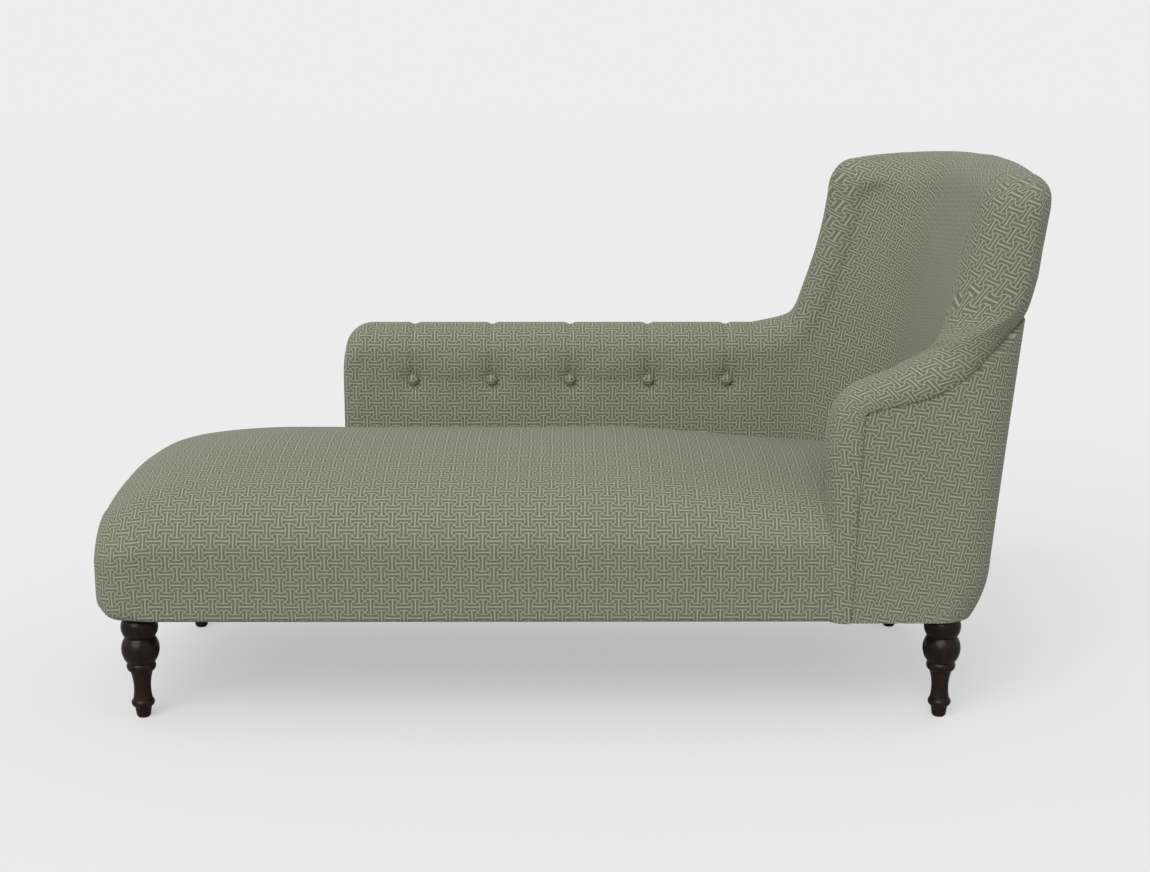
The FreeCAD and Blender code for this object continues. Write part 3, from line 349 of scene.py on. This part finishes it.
def plain(name, dark, light, scale, rough, stretch=(1.0, 1.0, 1.0), bump=0.15, metal=0.0, coat=0.0,
          gloss=0.5):
    """A material with soft streaks between two colours, in object space."""
    mat, nodes, links, shader = tree(name, rough)
    m = Maths(nodes, links)
    where = nodes.new("ShaderNodeTexCoord").outputs["Object"]
    noise = m.noise(m.scaled(where, stretch), scale, 4.0)["Fac"]
    colour = m.mix(m.ramp(noise, 0.35, 0.65), dark, light)
    links.new(colour, shader.inputs["Base Color"])
    worn = m.op("ADD", m.op("MULTIPLY", noise, 0.12), rough - 0.06)
    links.new(worn, shader.inputs["Roughness"])
    m.bump(shader, noise, bump, 0.0005)
    shader.inputs["Metallic"].default_value = metal
    shader.inputs["Specular IOR Level"].default_value = gloss
    shader.inputs["Coat Weight"].default_value = coat
    shader.inputs["Coat Roughness"].default_value = 0.12
    return mat


cloth = fretwork()
finish = {
    "leg_wood": plain("espresso_wood", (0.009, 0.0048, 0.0036), (0.018, 0.0095, 0.007), 14.0, 0.3,
                      stretch=(5.0, 5.0, 0.8), bump=0.05, coat=0.1, gloss=0.16),
    "frame_wood": plain("beech", (0.40, 0.26, 0.15), (0.52, 0.36, 0.22), 18.0, 0.6,
                        stretch=(1.0, 1.0, 6.0)),
    "steel": plain("zinc_steel", (0.45, 0.45, 0.46), (0.6, 0.6, 0.6), 60.0, 0.35, metal=1.0),
    "foam": plain("wadding", (0.70, 0.63, 0.45), (0.8, 0.74, 0.58), 40.0, 0.9),
    "webbing": plain("webbing", (0.20, 0.15, 0.10), (0.30, 0.24, 0.17), 120.0, 0.9),
    "hessian": plain("hessian", (0.30, 0.21, 0.12), (0.42, 0.32, 0.19), 300.0, 0.95),
    "dust_cloth": plain("dust_cloth", (0.008, 0.008, 0.008), (0.016, 0.016, 0.016), 200.0, 0.95),
    "glide_plastic": plain("glide", (0.03, 0.028, 0.026), (0.045, 0.04, 0.038), 50.0, 0.5),
    "twine": plain("twine", (0.45, 0.37, 0.25), (0.6, 0.5, 0.36), 400.0, 0.9),
    "toggle_card": plain("card", (0.25, 0.20, 0.13), (0.32, 0.26, 0.18), 80.0, 0.8),
    "fabric": cloth,
}
for row in frame["record"]["subparts"]:
    node = frame["nodes"].get(row["node"])
    if node is None or node.type != "MESH":
        continue
    chosen = finish[row["material_slot"]]
    if not node.material_slots:
        node.data.materials.append(chosen)
    for place in node.material_slots:
        place.material = chosen


# Seat
def seat_half(d):
    """Half of the seat's width at a distance from the foot end."""
    half = (SEAT_FAR - SEAT_NEAR) / 2.0
    straight = half - SEAT_CORNER
    turn = SEAT_BOW * (straight / half) ** 2
    if d < turn:
        return half * math.sqrt(d / SEAT_BOW)
    if d < turn + SEAT_CORNER:
        return straight + math.sqrt(SEAT_CORNER ** 2 - (SEAT_CORNER - d + turn) ** 2)
    return half


def seat_ring(d):
    """Section of the seat at a distance from the foot end."""
    x, mid, w = SEAT_FOOT + d, 0.5 * (SEAT_NEAR + SEAT_FAR), seat_half(d)
    top = table(CROWN, d)
    under = table(UNDER, d)
    face = under + (top - under) * (SEAT_FACE_TOP - LEG_HEIGHT) / (SEAT_CROWN - LEG_HEIGHT)
    rise = top - face
    toe = min(8.0 + 24.0 * max(0.0, 1.0 - d / 130.0), 0.15 * w, 0.5 * (face - under))
    # Ends and middles of the curves from the underside up to the middle of the crown
    ends = [(w - toe, under), (w, under + toe), (w, face), (0.623 * w, face + 0.8 * rise),
            (0.0, top)]
    middles = [(w - 0.3 * toe, under + 0.3 * toe), (w, 0.5 * (under + toe + face)),
               (0.884 * w, face + 0.5 * rise), (0.33 * w, face + 0.95 * rise)]
    side = []
    for s in (-1.0, 1.0):
        curves = zip(ends, middles, ends[1:])
        side.append([[(x, mid + s * out, z) for out, z in curve] for curve in curves])
    near, far = side
    back = [(c, b, a) for a, b, c in reversed(far)]
    return run_points(near + back, (4, 12, 22, 16, 16, 22, 12, 4))


def seat():
    """The seat's cloth, with sections close together where the foot end turns and one
    on each side of the place where the arm or the roll begins."""
    given = [1, 2, 4, 7, 12, 18, 24, 34, 45, 60, 88, 125, 190, 280, 420, 900, SEAT_END - SEAT_FOOT]
    at = [math.sqrt(d) for d in given]
    xs = list(1.0 + 119.0 * np.linspace(0.0, 1.0, 44) ** 1.6) + list(np.arange(130.0, 1500.0, 12.0))
    for x in (ARM_FOOT, ROLL_FRONT):
        xs += [x - SEAT_FOOT - 1.0, x - SEAT_FOOT + 1.0]
    xs = sorted(xs) + [SEAT_END - SEAT_FOOT]
    p = spline([seat_ring(d) for d in given], at, [math.sqrt(x) for x in xs])
    # The cloth runs along the seat from a section past the rounded end
    down, along = lengths(p)
    first = int(np.argmin(np.abs(np.array(xs) - 450.0)))
    u = down - down[first] + p[first, 0, 0] * 0.001
    v = along + p[:, :1, 2] * 0.001
    x, y, z = p[..., 0], p[..., 1], p[..., 2]
    # Light waves, the sunken crown, and no further than just inside arm and roll
    soft = np.sin(x / 71.0) * np.sin(x / 173.0 + 1.3) * 1.1
    z += soft * smooth(z, 340.0, 440.0)
    high = np.clip((z - SEAT_FACE_TOP) / (SEAT_CROWN - SEAT_FACE_TOP), 0.0, 1.0)
    z -= CROWN_SINK * smooth(x, 90.0, 580.0) * high
    arm = x > ARM_FOOT
    y[arm] = np.minimum(y[arm], ARM_INSIDE + LAP)
    near = x > ROLL_FRONT
    y[near] = np.maximum(y[near], NEAR_INSIDE - LAP)
    piece = skin("seat_upholstery", p, u, v, cloth)
    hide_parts("seat_cover", "seat_foam")
    return piece


# Far arm, wing and back
def plan(kind, value, z):
    """Inner and outer point of the far wall at a height."""
    xc = BACK_INSIDE - CORNER + table(LEAN_IN, z)
    yc = ARM_INSIDE - CORNER
    back = BACK_OUTSIDE + table(LEAN_OUT, z)
    if kind == "y":
        return (xc + CORNER, value), (back, value)
    if kind == "x" and value <= xc:
        return (value, ARM_INSIDE), (value, SEAT_FAR)
    angle = math.asin((value - xc) / CORNER) if kind == "x" else math.radians(value)
    s, c = math.sin(angle), math.cos(angle)
    inner = (xc + CORNER * s, yc + CORNER * c)
    first = back - REAR - xc
    bend = 0.5 * math.pi * REAR
    run = (first + bend + SEAT_FAR - REAR - yc) * angle / (0.5 * math.pi)
    if run <= first:
        return inner, (xc + run, SEAT_FAR)
    if run >= first + bend:
        return inner, (back, SEAT_FAR - REAR - (run - first - bend))
    turn = (run - first) / REAR
    return inner, (xc + first + REAR * math.sin(turn), SEAT_FAR - REAR + REAR * math.cos(turn))


def wall_lines(low, start, crest, inset=0.0, swell=0.0, thin=0.0, skirt=LEG_HEIGHT):
    """Profile of a wall: up the inside and over the top, then down the outside."""
    z_start, z_crest = start[2] - inset, crest[2] - inset
    waist = min(BUTTON_HEIGHT, z_start - 30.0)
    side = inset + thin

    def at(spot, z, push=0.0):
        p, q = plan(spot[0], spot[1], z)
        span = math.hypot(q[0] - p[0], q[1] - p[1])
        nx, ny = (q[0] - p[0]) / span, (q[1] - p[1]) / span
        return ((p[0] + nx * (side + push), p[1] + ny * (side + push), z),
                (q[0] - nx * side, q[1] - ny * side, z))

    def halfway(a, b):
        return (a[0], 0.5 * (a[1] + b[1])) if a[0] == b[0] else a

    a0, a1 = at(low, LEG_HEIGHT)[0], at(low, waist)[0]
    a01 = at(low, 0.5 * (LEG_HEIGHT + waist))[0]
    a12 = at(halfway(low, start), 0.5 * (waist + z_start), -swell)[0]
    a2, b2 = at(start, z_start)
    p, q = at(crest, z_crest)
    c = tuple(0.5 * (k + w) for k, w in zip(p, q))
    b12 = at(halfway(low, start), 0.5 * (KNEE + z_start))[1]
    b1 = at(low, KNEE)[1]
    b01 = at(low, skirt + 0.405 * (KNEE - skirt))[1]
    b0 = at(low, skirt)[1]
    mid = tuple(0.5 * (k + w) for k, w in zip(a2, b2))

    def shoulder(point):
        return tuple(mid[i] + 0.71 * (point[i] - mid[i]) + 0.7 * (c[i] - mid[i]) for i in range(3))

    up = [(a0, a01, a1), (a1, a12, a2), (a2, shoulder(a2), c), (c, shoulder(b2), b2)]
    return up, [(b2, b12, b1), (b1, b01, b0)]


def spread(x, y, z):
    """Inside of arm, corner and back laid out flat: distance along and height."""
    xc = BACK_INSIDE - CORNER + np.interp(z, [r[0] for r in LEAN_IN], [r[1] for r in LEAN_IN])
    yc = ARM_INSIDE - CORNER
    y, z = np.asarray(y, float), np.asarray(z, float)
    angle = np.arctan2(np.subtract(x, xc), np.maximum(y - yc, 1e-6))
    angle = np.clip(angle, 0.0, 0.5 * math.pi)
    return np.minimum(x, xc) + CORNER * angle + np.maximum(yc - y, 0.0), z


def arm_rows():
    """Place, drop of the top, loss of width and swell of the sections of the low arm."""
    rows = []
    for d in (0.0, 1.0, 2.5, 5.0, 8.0, 12.0, 17.0, 23.0, 30.0, 38.0, 46.0):
        drop = ARM_END - math.sqrt(ARM_END ** 2 - (ARM_END - d) ** 2)
        thin = float(np.interp(d, (0, 2.5, 10, 22, 36), (14, 8, 3, 0.5, 0)))
        rows.append((ARM_FOOT + d, drop, thin, 0.0))
    for x in np.arange(ARM_FOOT + 54.0, 399.0, 3.0):
        swell = 0.5 - 0.5 * math.cos(2.0 * math.pi * (x - BUTTONS[0]) / BUTTON_PITCH)
        fade = float(smooth(x, ARM_FOOT + 60.0, BUTTONS[0]))
        fade *= float(1.0 - smooth(x, BUTTONS[-1] + 20.0, 399.0))
        rows.append((float(x), 0.0, 0.0, 4.0 * swell * fade))
    return rows


def head_spots():
    """Places of the sections of wing, corner and back."""
    spots = [(("x", xl), ("x", xs, zs), ("x", x, z)) for (x, z), (xs, zs), xl in WING]
    corner = ((48, 41, 31), (55, 50, 45), (62, 60, 58), (70, 69.5, 69), (80, 80, 80))
    for low, start, crest in corner:
        z = table(BACK_CREST, 10.0 + 260.0 * math.cos(math.radians(crest)))
        spots.append((("a", low), ("a", start, z - ARM_ROLL), ("a", crest, z)))
    for y in (10.0, -60.0, -120.0, -180.0, BACK_END):
        z = table(BACK_CREST, y)
        spots.append((("y", y), ("y", y, z - ARM_ROLL), ("y", y, z)))
    return spots


def wall_ring(*args, **more):
    """Section of a wall."""
    up, down = wall_lines(*args, **more)
    return run_points(up + down, UP + DOWN)


def panel_ring(*args, **more):
    """Section of an outside panel: down its face and up its back."""
    face = wall_lines(*args, inset=PANEL_FACE, skirt=PANEL_FOOT, **more)[1]
    back = wall_lines(*args, inset=PANEL_BACK, **more)[1]
    return np.vstack([run_points(face, DOWN), run_points(back, DOWN)[::-1]])


def tufting(p):
    """Dimples at the buttons with a pleat from each over the top of the arm."""
    x, y, z = p[..., 0], p[..., 1], p[..., 2]
    front = smooth(y, 330.0, 262.0)
    top = smooth(z, 560.0, 640.0)
    for b in BUTTONS:
        # A narrow and a wide hollow, then the pleat's crease with a lip on each side
        dx, dz = x - b, z - BUTTON_HEIGHT
        dimple = 8.5 * np.exp(-(dx ** 2 + dz ** 2) / (2.0 * 15.0 ** 2))
        dimple += 3.5 * np.exp(-(dx ** 2 / (2.0 * 38.0 ** 2) + dz ** 2 / (2.0 * 30.0 ** 2)))
        width = 3.2 + 0.03 * np.clip(dz, 0, 100)
        run = smooth(dz, 4.0, 14.0) * np.exp(-dx ** 2 / (2.0 * width ** 2))
        lips = smooth(dz, 4.0, 20.0) * np.exp(-(np.abs(dx) - 11.0) ** 2 / (2.0 * 4.5 ** 2))
        y += front * (1.0 - top) * (dimple + 2.2 * run - 0.6 * lips)
        z -= top * smooth(y, 345.0, 300.0) * (4.0 * run - 0.6 * lips)
    # A slanting fold at the foot end
    fold = np.exp(-(x - ARM_FOOT - 62.0 + 0.35 * (640.0 - z)) ** 2 / 18.0)
    y += front * 2.5 * fold * smooth(z, 470.0, 520.0)


def arm_spot(x, drop):
    """Low place, start of the padded top and crest of a section of the low arm."""
    return ("x", x), ("x", x, ARM_CREST - ARM_ROLL - drop), ("x", x, ARM_CREST - drop)


def turned(u, v):
    """The cloth's coordinates, turned clockwise on the wing."""
    begin, full, width, pivot = 0.40, 0.62, 0.22, 0.62
    share = 0.45 + 0.55 * smooth(v, 0.60, 0.85)
    lean = math.tan(math.radians(WING_TURN))
    turn = lean * smooth(u, begin, full) * share
    lift = lean * width * np.maximum(0.0, (u - begin) / width - 0.5)
    return u - turn * (v - pivot), v + lift * share


def arm_and_back():
    """Inside, top and edges of the far arm, the wing and the back, in one piece."""
    arm = np.array([wall_ring(*arm_spot(x, drop), thin=thin, swell=swell)
                    for x, drop, thin, swell in arm_rows()])
    tufting(arm)
    # Each head section carries the direction in which its cloth goes over the edge
    head = []
    for low, start, crest in head_spots():
        lead = np.subtract(spread(*plan(*crest[:2], crest[2])[0], crest[2]),
                           spread(*plan(*start[:2], start[2])[0], start[2]))
        lead = np.append(lead / np.linalg.norm(lead), 0.0) * 100.0
        head.append(np.vstack([wall_ring(low, start, crest), lead]))
    head = dense(head, 7.0)
    lead = np.zeros((len(arm) + len(head), 2))
    lead[:len(arm), 1] = 1.0
    lead[len(arm):] = head[:, -1, :2] * 0.01
    p = np.concatenate([arm, head[:, :-1]])
    along = lengths(p)[1]
    ring = np.concatenate([p, p[:, :1]], axis=1)
    u, v = spread(ring[..., 0], ring[..., 1], ring[..., 2])
    u, v = u * 0.001, v * 0.001
    # Laid out flat on the inside, and from the padded edge on straight over it
    k = UP[0] + UP[1]
    past = along[:, k:] - along[:, k:k + 1]
    u[:, k:] = u[:, k:k + 1] + lead[:, :1] * past
    v[:, k:] = v[:, k:k + 1] + lead[:, 1:] * past
    piece = skin("arm_and_back_upholstery", p, *turned(u, v), cloth, (0, -1))
    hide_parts("far_arm_cover", "back_cover", "far_arm_padding", "back_padding")
    return piece


def outside_panel():
    """Cloth on the outside of the far arm, the corner and the back."""
    arm = [panel_ring(*arm_spot(x, drop), thin=thin) for x, drop, thin, _ in arm_rows()[1::2]]
    head = dense([panel_ring(*spot) for spot in head_spots()], 12.0)
    q = np.concatenate([np.array(arm), head])
    down, along = lengths(q)
    foot = sum(DOWN)
    panel = skin("outside_panel", q, down, 1.2 - along, cloth, (0, foot, foot + 1, -1))
    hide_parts("far_outside_panel", "back_outside_panel")
    return panel


def arm_front():
    """Panel on the foot end of the far arm."""
    rings = []
    for shift, thin in ((1.0, 17.0), (-1.2, 17.0), (-2.2, 19.0)):
        rings.append(wall_ring(("x", ARM_FOOT), ("x", ARM_FOOT, ARM_CREST - ARM_ROLL - ARM_END),
                               ("x", ARM_FOOT, ARM_CREST - ARM_END - 4.0), thin=thin))
        rings[-1][:, 0] = ARM_FOOT + shift
    rings = np.array(rings)
    ring = np.concatenate([rings, rings[:, :1]], axis=1) * 0.001
    front = skin("arm_front_panel", rings, ring[..., 1], ring[..., 2], cloth)
    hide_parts("far_arm_front")
    return front


# Near arm and roll
def near_plan(kind, value, z):
    """Inner and outer point of the near wall at a height."""
    xb = BACK_INSIDE + table(LEAN_IN, z)
    xo = BACK_OUTSIDE + table(LEAN_OUT, z)
    if kind == "s":
        front = [NEAR_FRONT + NEAR_RAKE * (z - LEG_HEIGHT) + NEAR_SKEW * (y - ROLL_INSIDE)
                 for y in (NEAR_INSIDE, NEAR_FACE)]
        return ((front[0] + (xb - FIT - front[0]) * value, NEAR_INSIDE),
                (front[1] + (xo - NEAR_CORNER - front[1]) * value, NEAR_FACE))
    if kind == "end":
        return (xo - NEAR_END, BACK_END - FIT), (xo, BACK_END - FIT)
    angle = math.radians(value)
    return ((xb + (xo - NEAR_END - xb) * (1.0 - value / 90.0), BACK_END - FIT),
            (xo - NEAR_CORNER + NEAR_CORNER * math.cos(angle),
             NEAR_FACE + NEAR_CORNER - NEAR_CORNER * math.sin(angle)))


def near_ring(kind, value):
    """Section of the near arm: up the inside, over the top and down the outside."""
    def at(z):
        p, q = near_plan(kind, value, z)
        return (*p, z), (*q, z)

    # The top stays just below the roll, whose height depends on the place found
    base_in = [(r[0][0], r[0][2]) for r in ROLL[3:10]]
    base_out = [(r[1][0], r[1][2]) for r in ROLL[3:]]
    top_out = 700.0
    for _ in range(4):
        top_out = table(base_out, at(top_out)[1][0]) - 1.0
    top_in = table(base_in, at(600.0)[0][0]) - 1.0 if kind == "s" else top_out
    up = [(at(LEG_HEIGHT)[0], at(0.5 * (LEG_HEIGHT + top_in))[0], at(top_in)[0]),
          (at(top_in)[0], at(top_in)[0], at(top_out)[1])]
    down = [(at(top_out)[1], at(0.5 * (top_out + KNEE))[1], at(KNEE)[1]),
            (at(KNEE)[1], at(LOW_BEND)[1], at(LEG_HEIGHT)[1])]
    return run_points(up + down, NEAR_STEPS)


def near_arm():
    """The near arm below the roll, with its end at the back's near edge."""
    spots = [("s", v) for v in (0.0, 0.035, 0.115, 0.325, 0.58, 0.8, 0.99)]
    spots += [("a", v) for v in (90.0, 76.0, 54.0, 32.0, 12.0)] + [("end", 0.0)]
    p = dense([near_ring(*spot) for spot in spots], 9.0)
    down = lengths(p)[0]
    ring = np.concatenate([p, p[:, :1]], axis=1)
    # The cloth runs along a line on the outside and turns a little
    line, lean = 26, 0.12
    u = down[:, line:line + 1] + np.zeros_like(down) + 0.008
    v = ring[..., 2] * 0.001 + lean * u
    u = u - lean * (ring[..., 2] * 0.001 - 0.45)
    top = NEAR_STEPS[0]
    piece = skin("near_arm_upholstery", p, u, v, cloth, (0, top, top + NEAR_STEPS[1], -1))
    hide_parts("near_arm_inside_cover", "near_outside_panel", "near_arm_padding")
    return piece


def roll_ring(inner, outer, facing, depth, radii):
    """Section of the padded band: flat towards the frame, rounded to its face."""
    p, q, o = (np.array(k, float) for k in (inner, outer, facing))
    across = q - p
    width = np.linalg.norm(across)
    across /= width
    o = o - across * o.dot(across)
    o /= np.linalg.norm(o)
    ri, ro = min(radii[0], 0.55 * width), min(radii[1], 0.4 * width)
    f1, f2 = p + across * ri + o * (depth - 2.0), q - across * ro + o * (depth - 2.0)
    m1 = p + across * (0.29 * ri) + o * (0.71 * depth)
    m2 = q - across * (0.29 * ro) + o * (0.74 * depth)
    fm = (f1 + f2) * 0.5 + o * 2.0
    return run_points([(p, m1, f1), (f1, fm, f2), (f2, m2, q)], ROLL_STEPS)


def roll():
    """The padded band: up the arm's front, over it and up the near edge of the back."""
    rows = []
    for k, (inner, outer, facing, depth) in enumerate(ROLL):
        radius = 45.0 if k < 9 else 59.5
        rows.append(roll_ring(inner, outer, facing, depth, (radius, ROLL_EDGE)))
    # The upper part, with its shares of width and depth as it closes over the corner
    crest = table(BACK_CREST, BACK_END)
    for z, part, depth in ((795.0, 1, 1), (860.0, 1, 1), (900.0, 1, 1), (crest - 54, .99, .98),
                           (crest - 38, .95, .93), (crest - 24, .83, .84), (crest - 12, .62, .68),
                           (crest - 4, .36, .44), (crest - 0.5, .12, .2)):
        xb, xo = BACK_INSIDE + table(LEAN_IN, z), BACK_OUTSIDE + table(LEAN_OUT, z)
        mid, half = 0.5 * (xb + xo), 0.5 * (xo - xb) * part
        rows.append(roll_ring((mid - half, BACK_END, z), (mid + half, BACK_END, z), (0, -1, 0),
                              ROLL_DEPTH * depth, (ROLL_RADIUS * part, ROLL_EDGE * part)))
    p = dense(rows, 7.0)
    # The cloth runs along the middle of the face and turns on the upper part
    down, along = lengths(p)
    face = ROLL_STEPS[0] + ROLL_STEPS[1] // 2
    top = int(np.argmin(np.abs(p[:, face, 2] - 850.0)))
    run = 0.5 * (down[:, face:face + 1] + down - down[top:top + 1] + down[top, face])
    high = p[:, face:face + 1, 2] + np.zeros_like(down)
    turn = np.tan(np.radians(ROLL_TURN)) * smooth(high, 700.0, 800.0)
    shift = np.zeros_like(run)
    shift[1:] = np.cumsum(0.5 * (turn[1:] + turn[:-1]) * np.diff(run, axis=0), axis=0)
    shift -= shift[top:top + 1]
    scale = 1.0 / np.sqrt(1.0 + turn ** 2)
    u, v = (along - shift) * scale, (run + turn * along) * scale
    piece = skin("roll_upholstery", p, u, v, cloth, (0, -1))
    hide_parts("roll_cover", "roll_padding")
    return piece


def buttons():
    """The covered buttons, each turned about the line through its middle."""
    made = []
    angles = np.linspace(0.0, 2.0 * math.pi, 33)[:-1]
    for k, x in enumerate(BUTTONS):
        p = np.array([[(x + r * math.cos(t), ARM_INSIDE + BUTTON_SEAT + y,
                        BUTTON_HEIGHT + r * math.sin(t)) for t in angles] for r, y in BUTTON])
        ring = np.concatenate([p, p[:, :1]], axis=1) * 0.001
        name = "covered_button_%d" % (k + 1)
        made.append(skin(name, p, ring[..., 0] + 0.007, ring[..., 2], cloth))
    return made


seat_piece = seat()
wall_piece = arm_and_back()
panel_piece = outside_panel()
front_piece = arm_front()
near_piece = near_arm()
roll_piece = roll()
button_pieces = buttons()
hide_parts("arm_buttons")
pads = [seat_piece, wall_piece, near_piece, roll_piece]
for piece in pads + [panel_piece, front_piece] + button_pieces:
    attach(piece, "root")


# Floor, light and camera
def studio():
    """Floor that glows for the camera alone, an even world, the key light and the camera."""
    mesh = bpy.data.meshes.new("floor")
    mesh.from_pydata([(-14, -9, 0), (14, -9, 0), (14, 30, 0), (-14, 30, 0)], [], [(0, 1, 2, 3)])
    floor = bpy.data.objects.new("floor", mesh)
    bpy.context.scene.collection.objects.link(floor)
    mat, nodes, links, shader = tree("floor_paint", 1.0)
    shader.inputs["Base Color"].default_value = (FLOOR, FLOOR, FLOOR, 1.0)
    shader.inputs["Emission Color"].default_value = (1.0, 1.0, 1.0, 1.0)
    glow = nodes.new("ShaderNodeMath")
    glow.operation = "MULTIPLY"
    glow.inputs[1].default_value = GLOW
    links.new(nodes.new("ShaderNodeLightPath").outputs["Is Camera Ray"], glow.inputs[0])
    links.new(glow.outputs[0], shader.inputs["Emission Strength"])
    shader.inputs["Specular IOR Level"].default_value = 0.0
    mesh.materials.append(mat)
    world = bpy.data.worlds.new("studio")
    bpy.context.scene.world = world
    world.use_nodes = True
    nodes, links = world.node_tree.nodes, world.node_tree.links
    light = nodes["Background"]
    light.inputs["Color"].default_value = (1.0, 1.0, 1.0, 1.0)
    light.inputs["Strength"].default_value = WORLD
    seen = nodes.new("ShaderNodeBackground")
    seen.inputs["Color"].default_value = (BEHIND, BEHIND, BEHIND, 1.0)
    mix = nodes.new("ShaderNodeMixShader")
    path = nodes.new("ShaderNodeLightPath")
    links.new(path.outputs["Is Camera Ray"], mix.inputs[0])
    links.new(light.outputs[0], mix.inputs[1])
    links.new(seen.outputs[0], mix.inputs[2])
    links.new(mix.outputs[0], nodes["World Output"].inputs["Surface"])
    lamp = bpy.data.lights.new("key", "SUN")
    lamp.energy = KEY
    lamp.angle = math.radians(KEY_WIDTH)
    thing = bpy.data.objects.new("key", lamp)
    x, y, z = KEY_WAY
    thing.rotation_euler = (math.atan2(math.hypot(x, y), z), 0.0, math.atan2(x, -y))
    bpy.context.scene.collection.objects.link(thing)
    camera = bpy.data.cameras.new("camera")
    camera.sensor_width = SENSOR
    camera.lens = LENS
    eye = bpy.data.objects.new("camera", camera)
    eye.location = EYE
    eye.rotation_euler = (math.radians(90.0 - TILT), 0.0, math.radians(TURN))
    bpy.context.scene.collection.objects.link(eye)
    bpy.context.scene.camera = eye
    bpy.context.scene.view_settings.view_transform = "Standard"


studio()
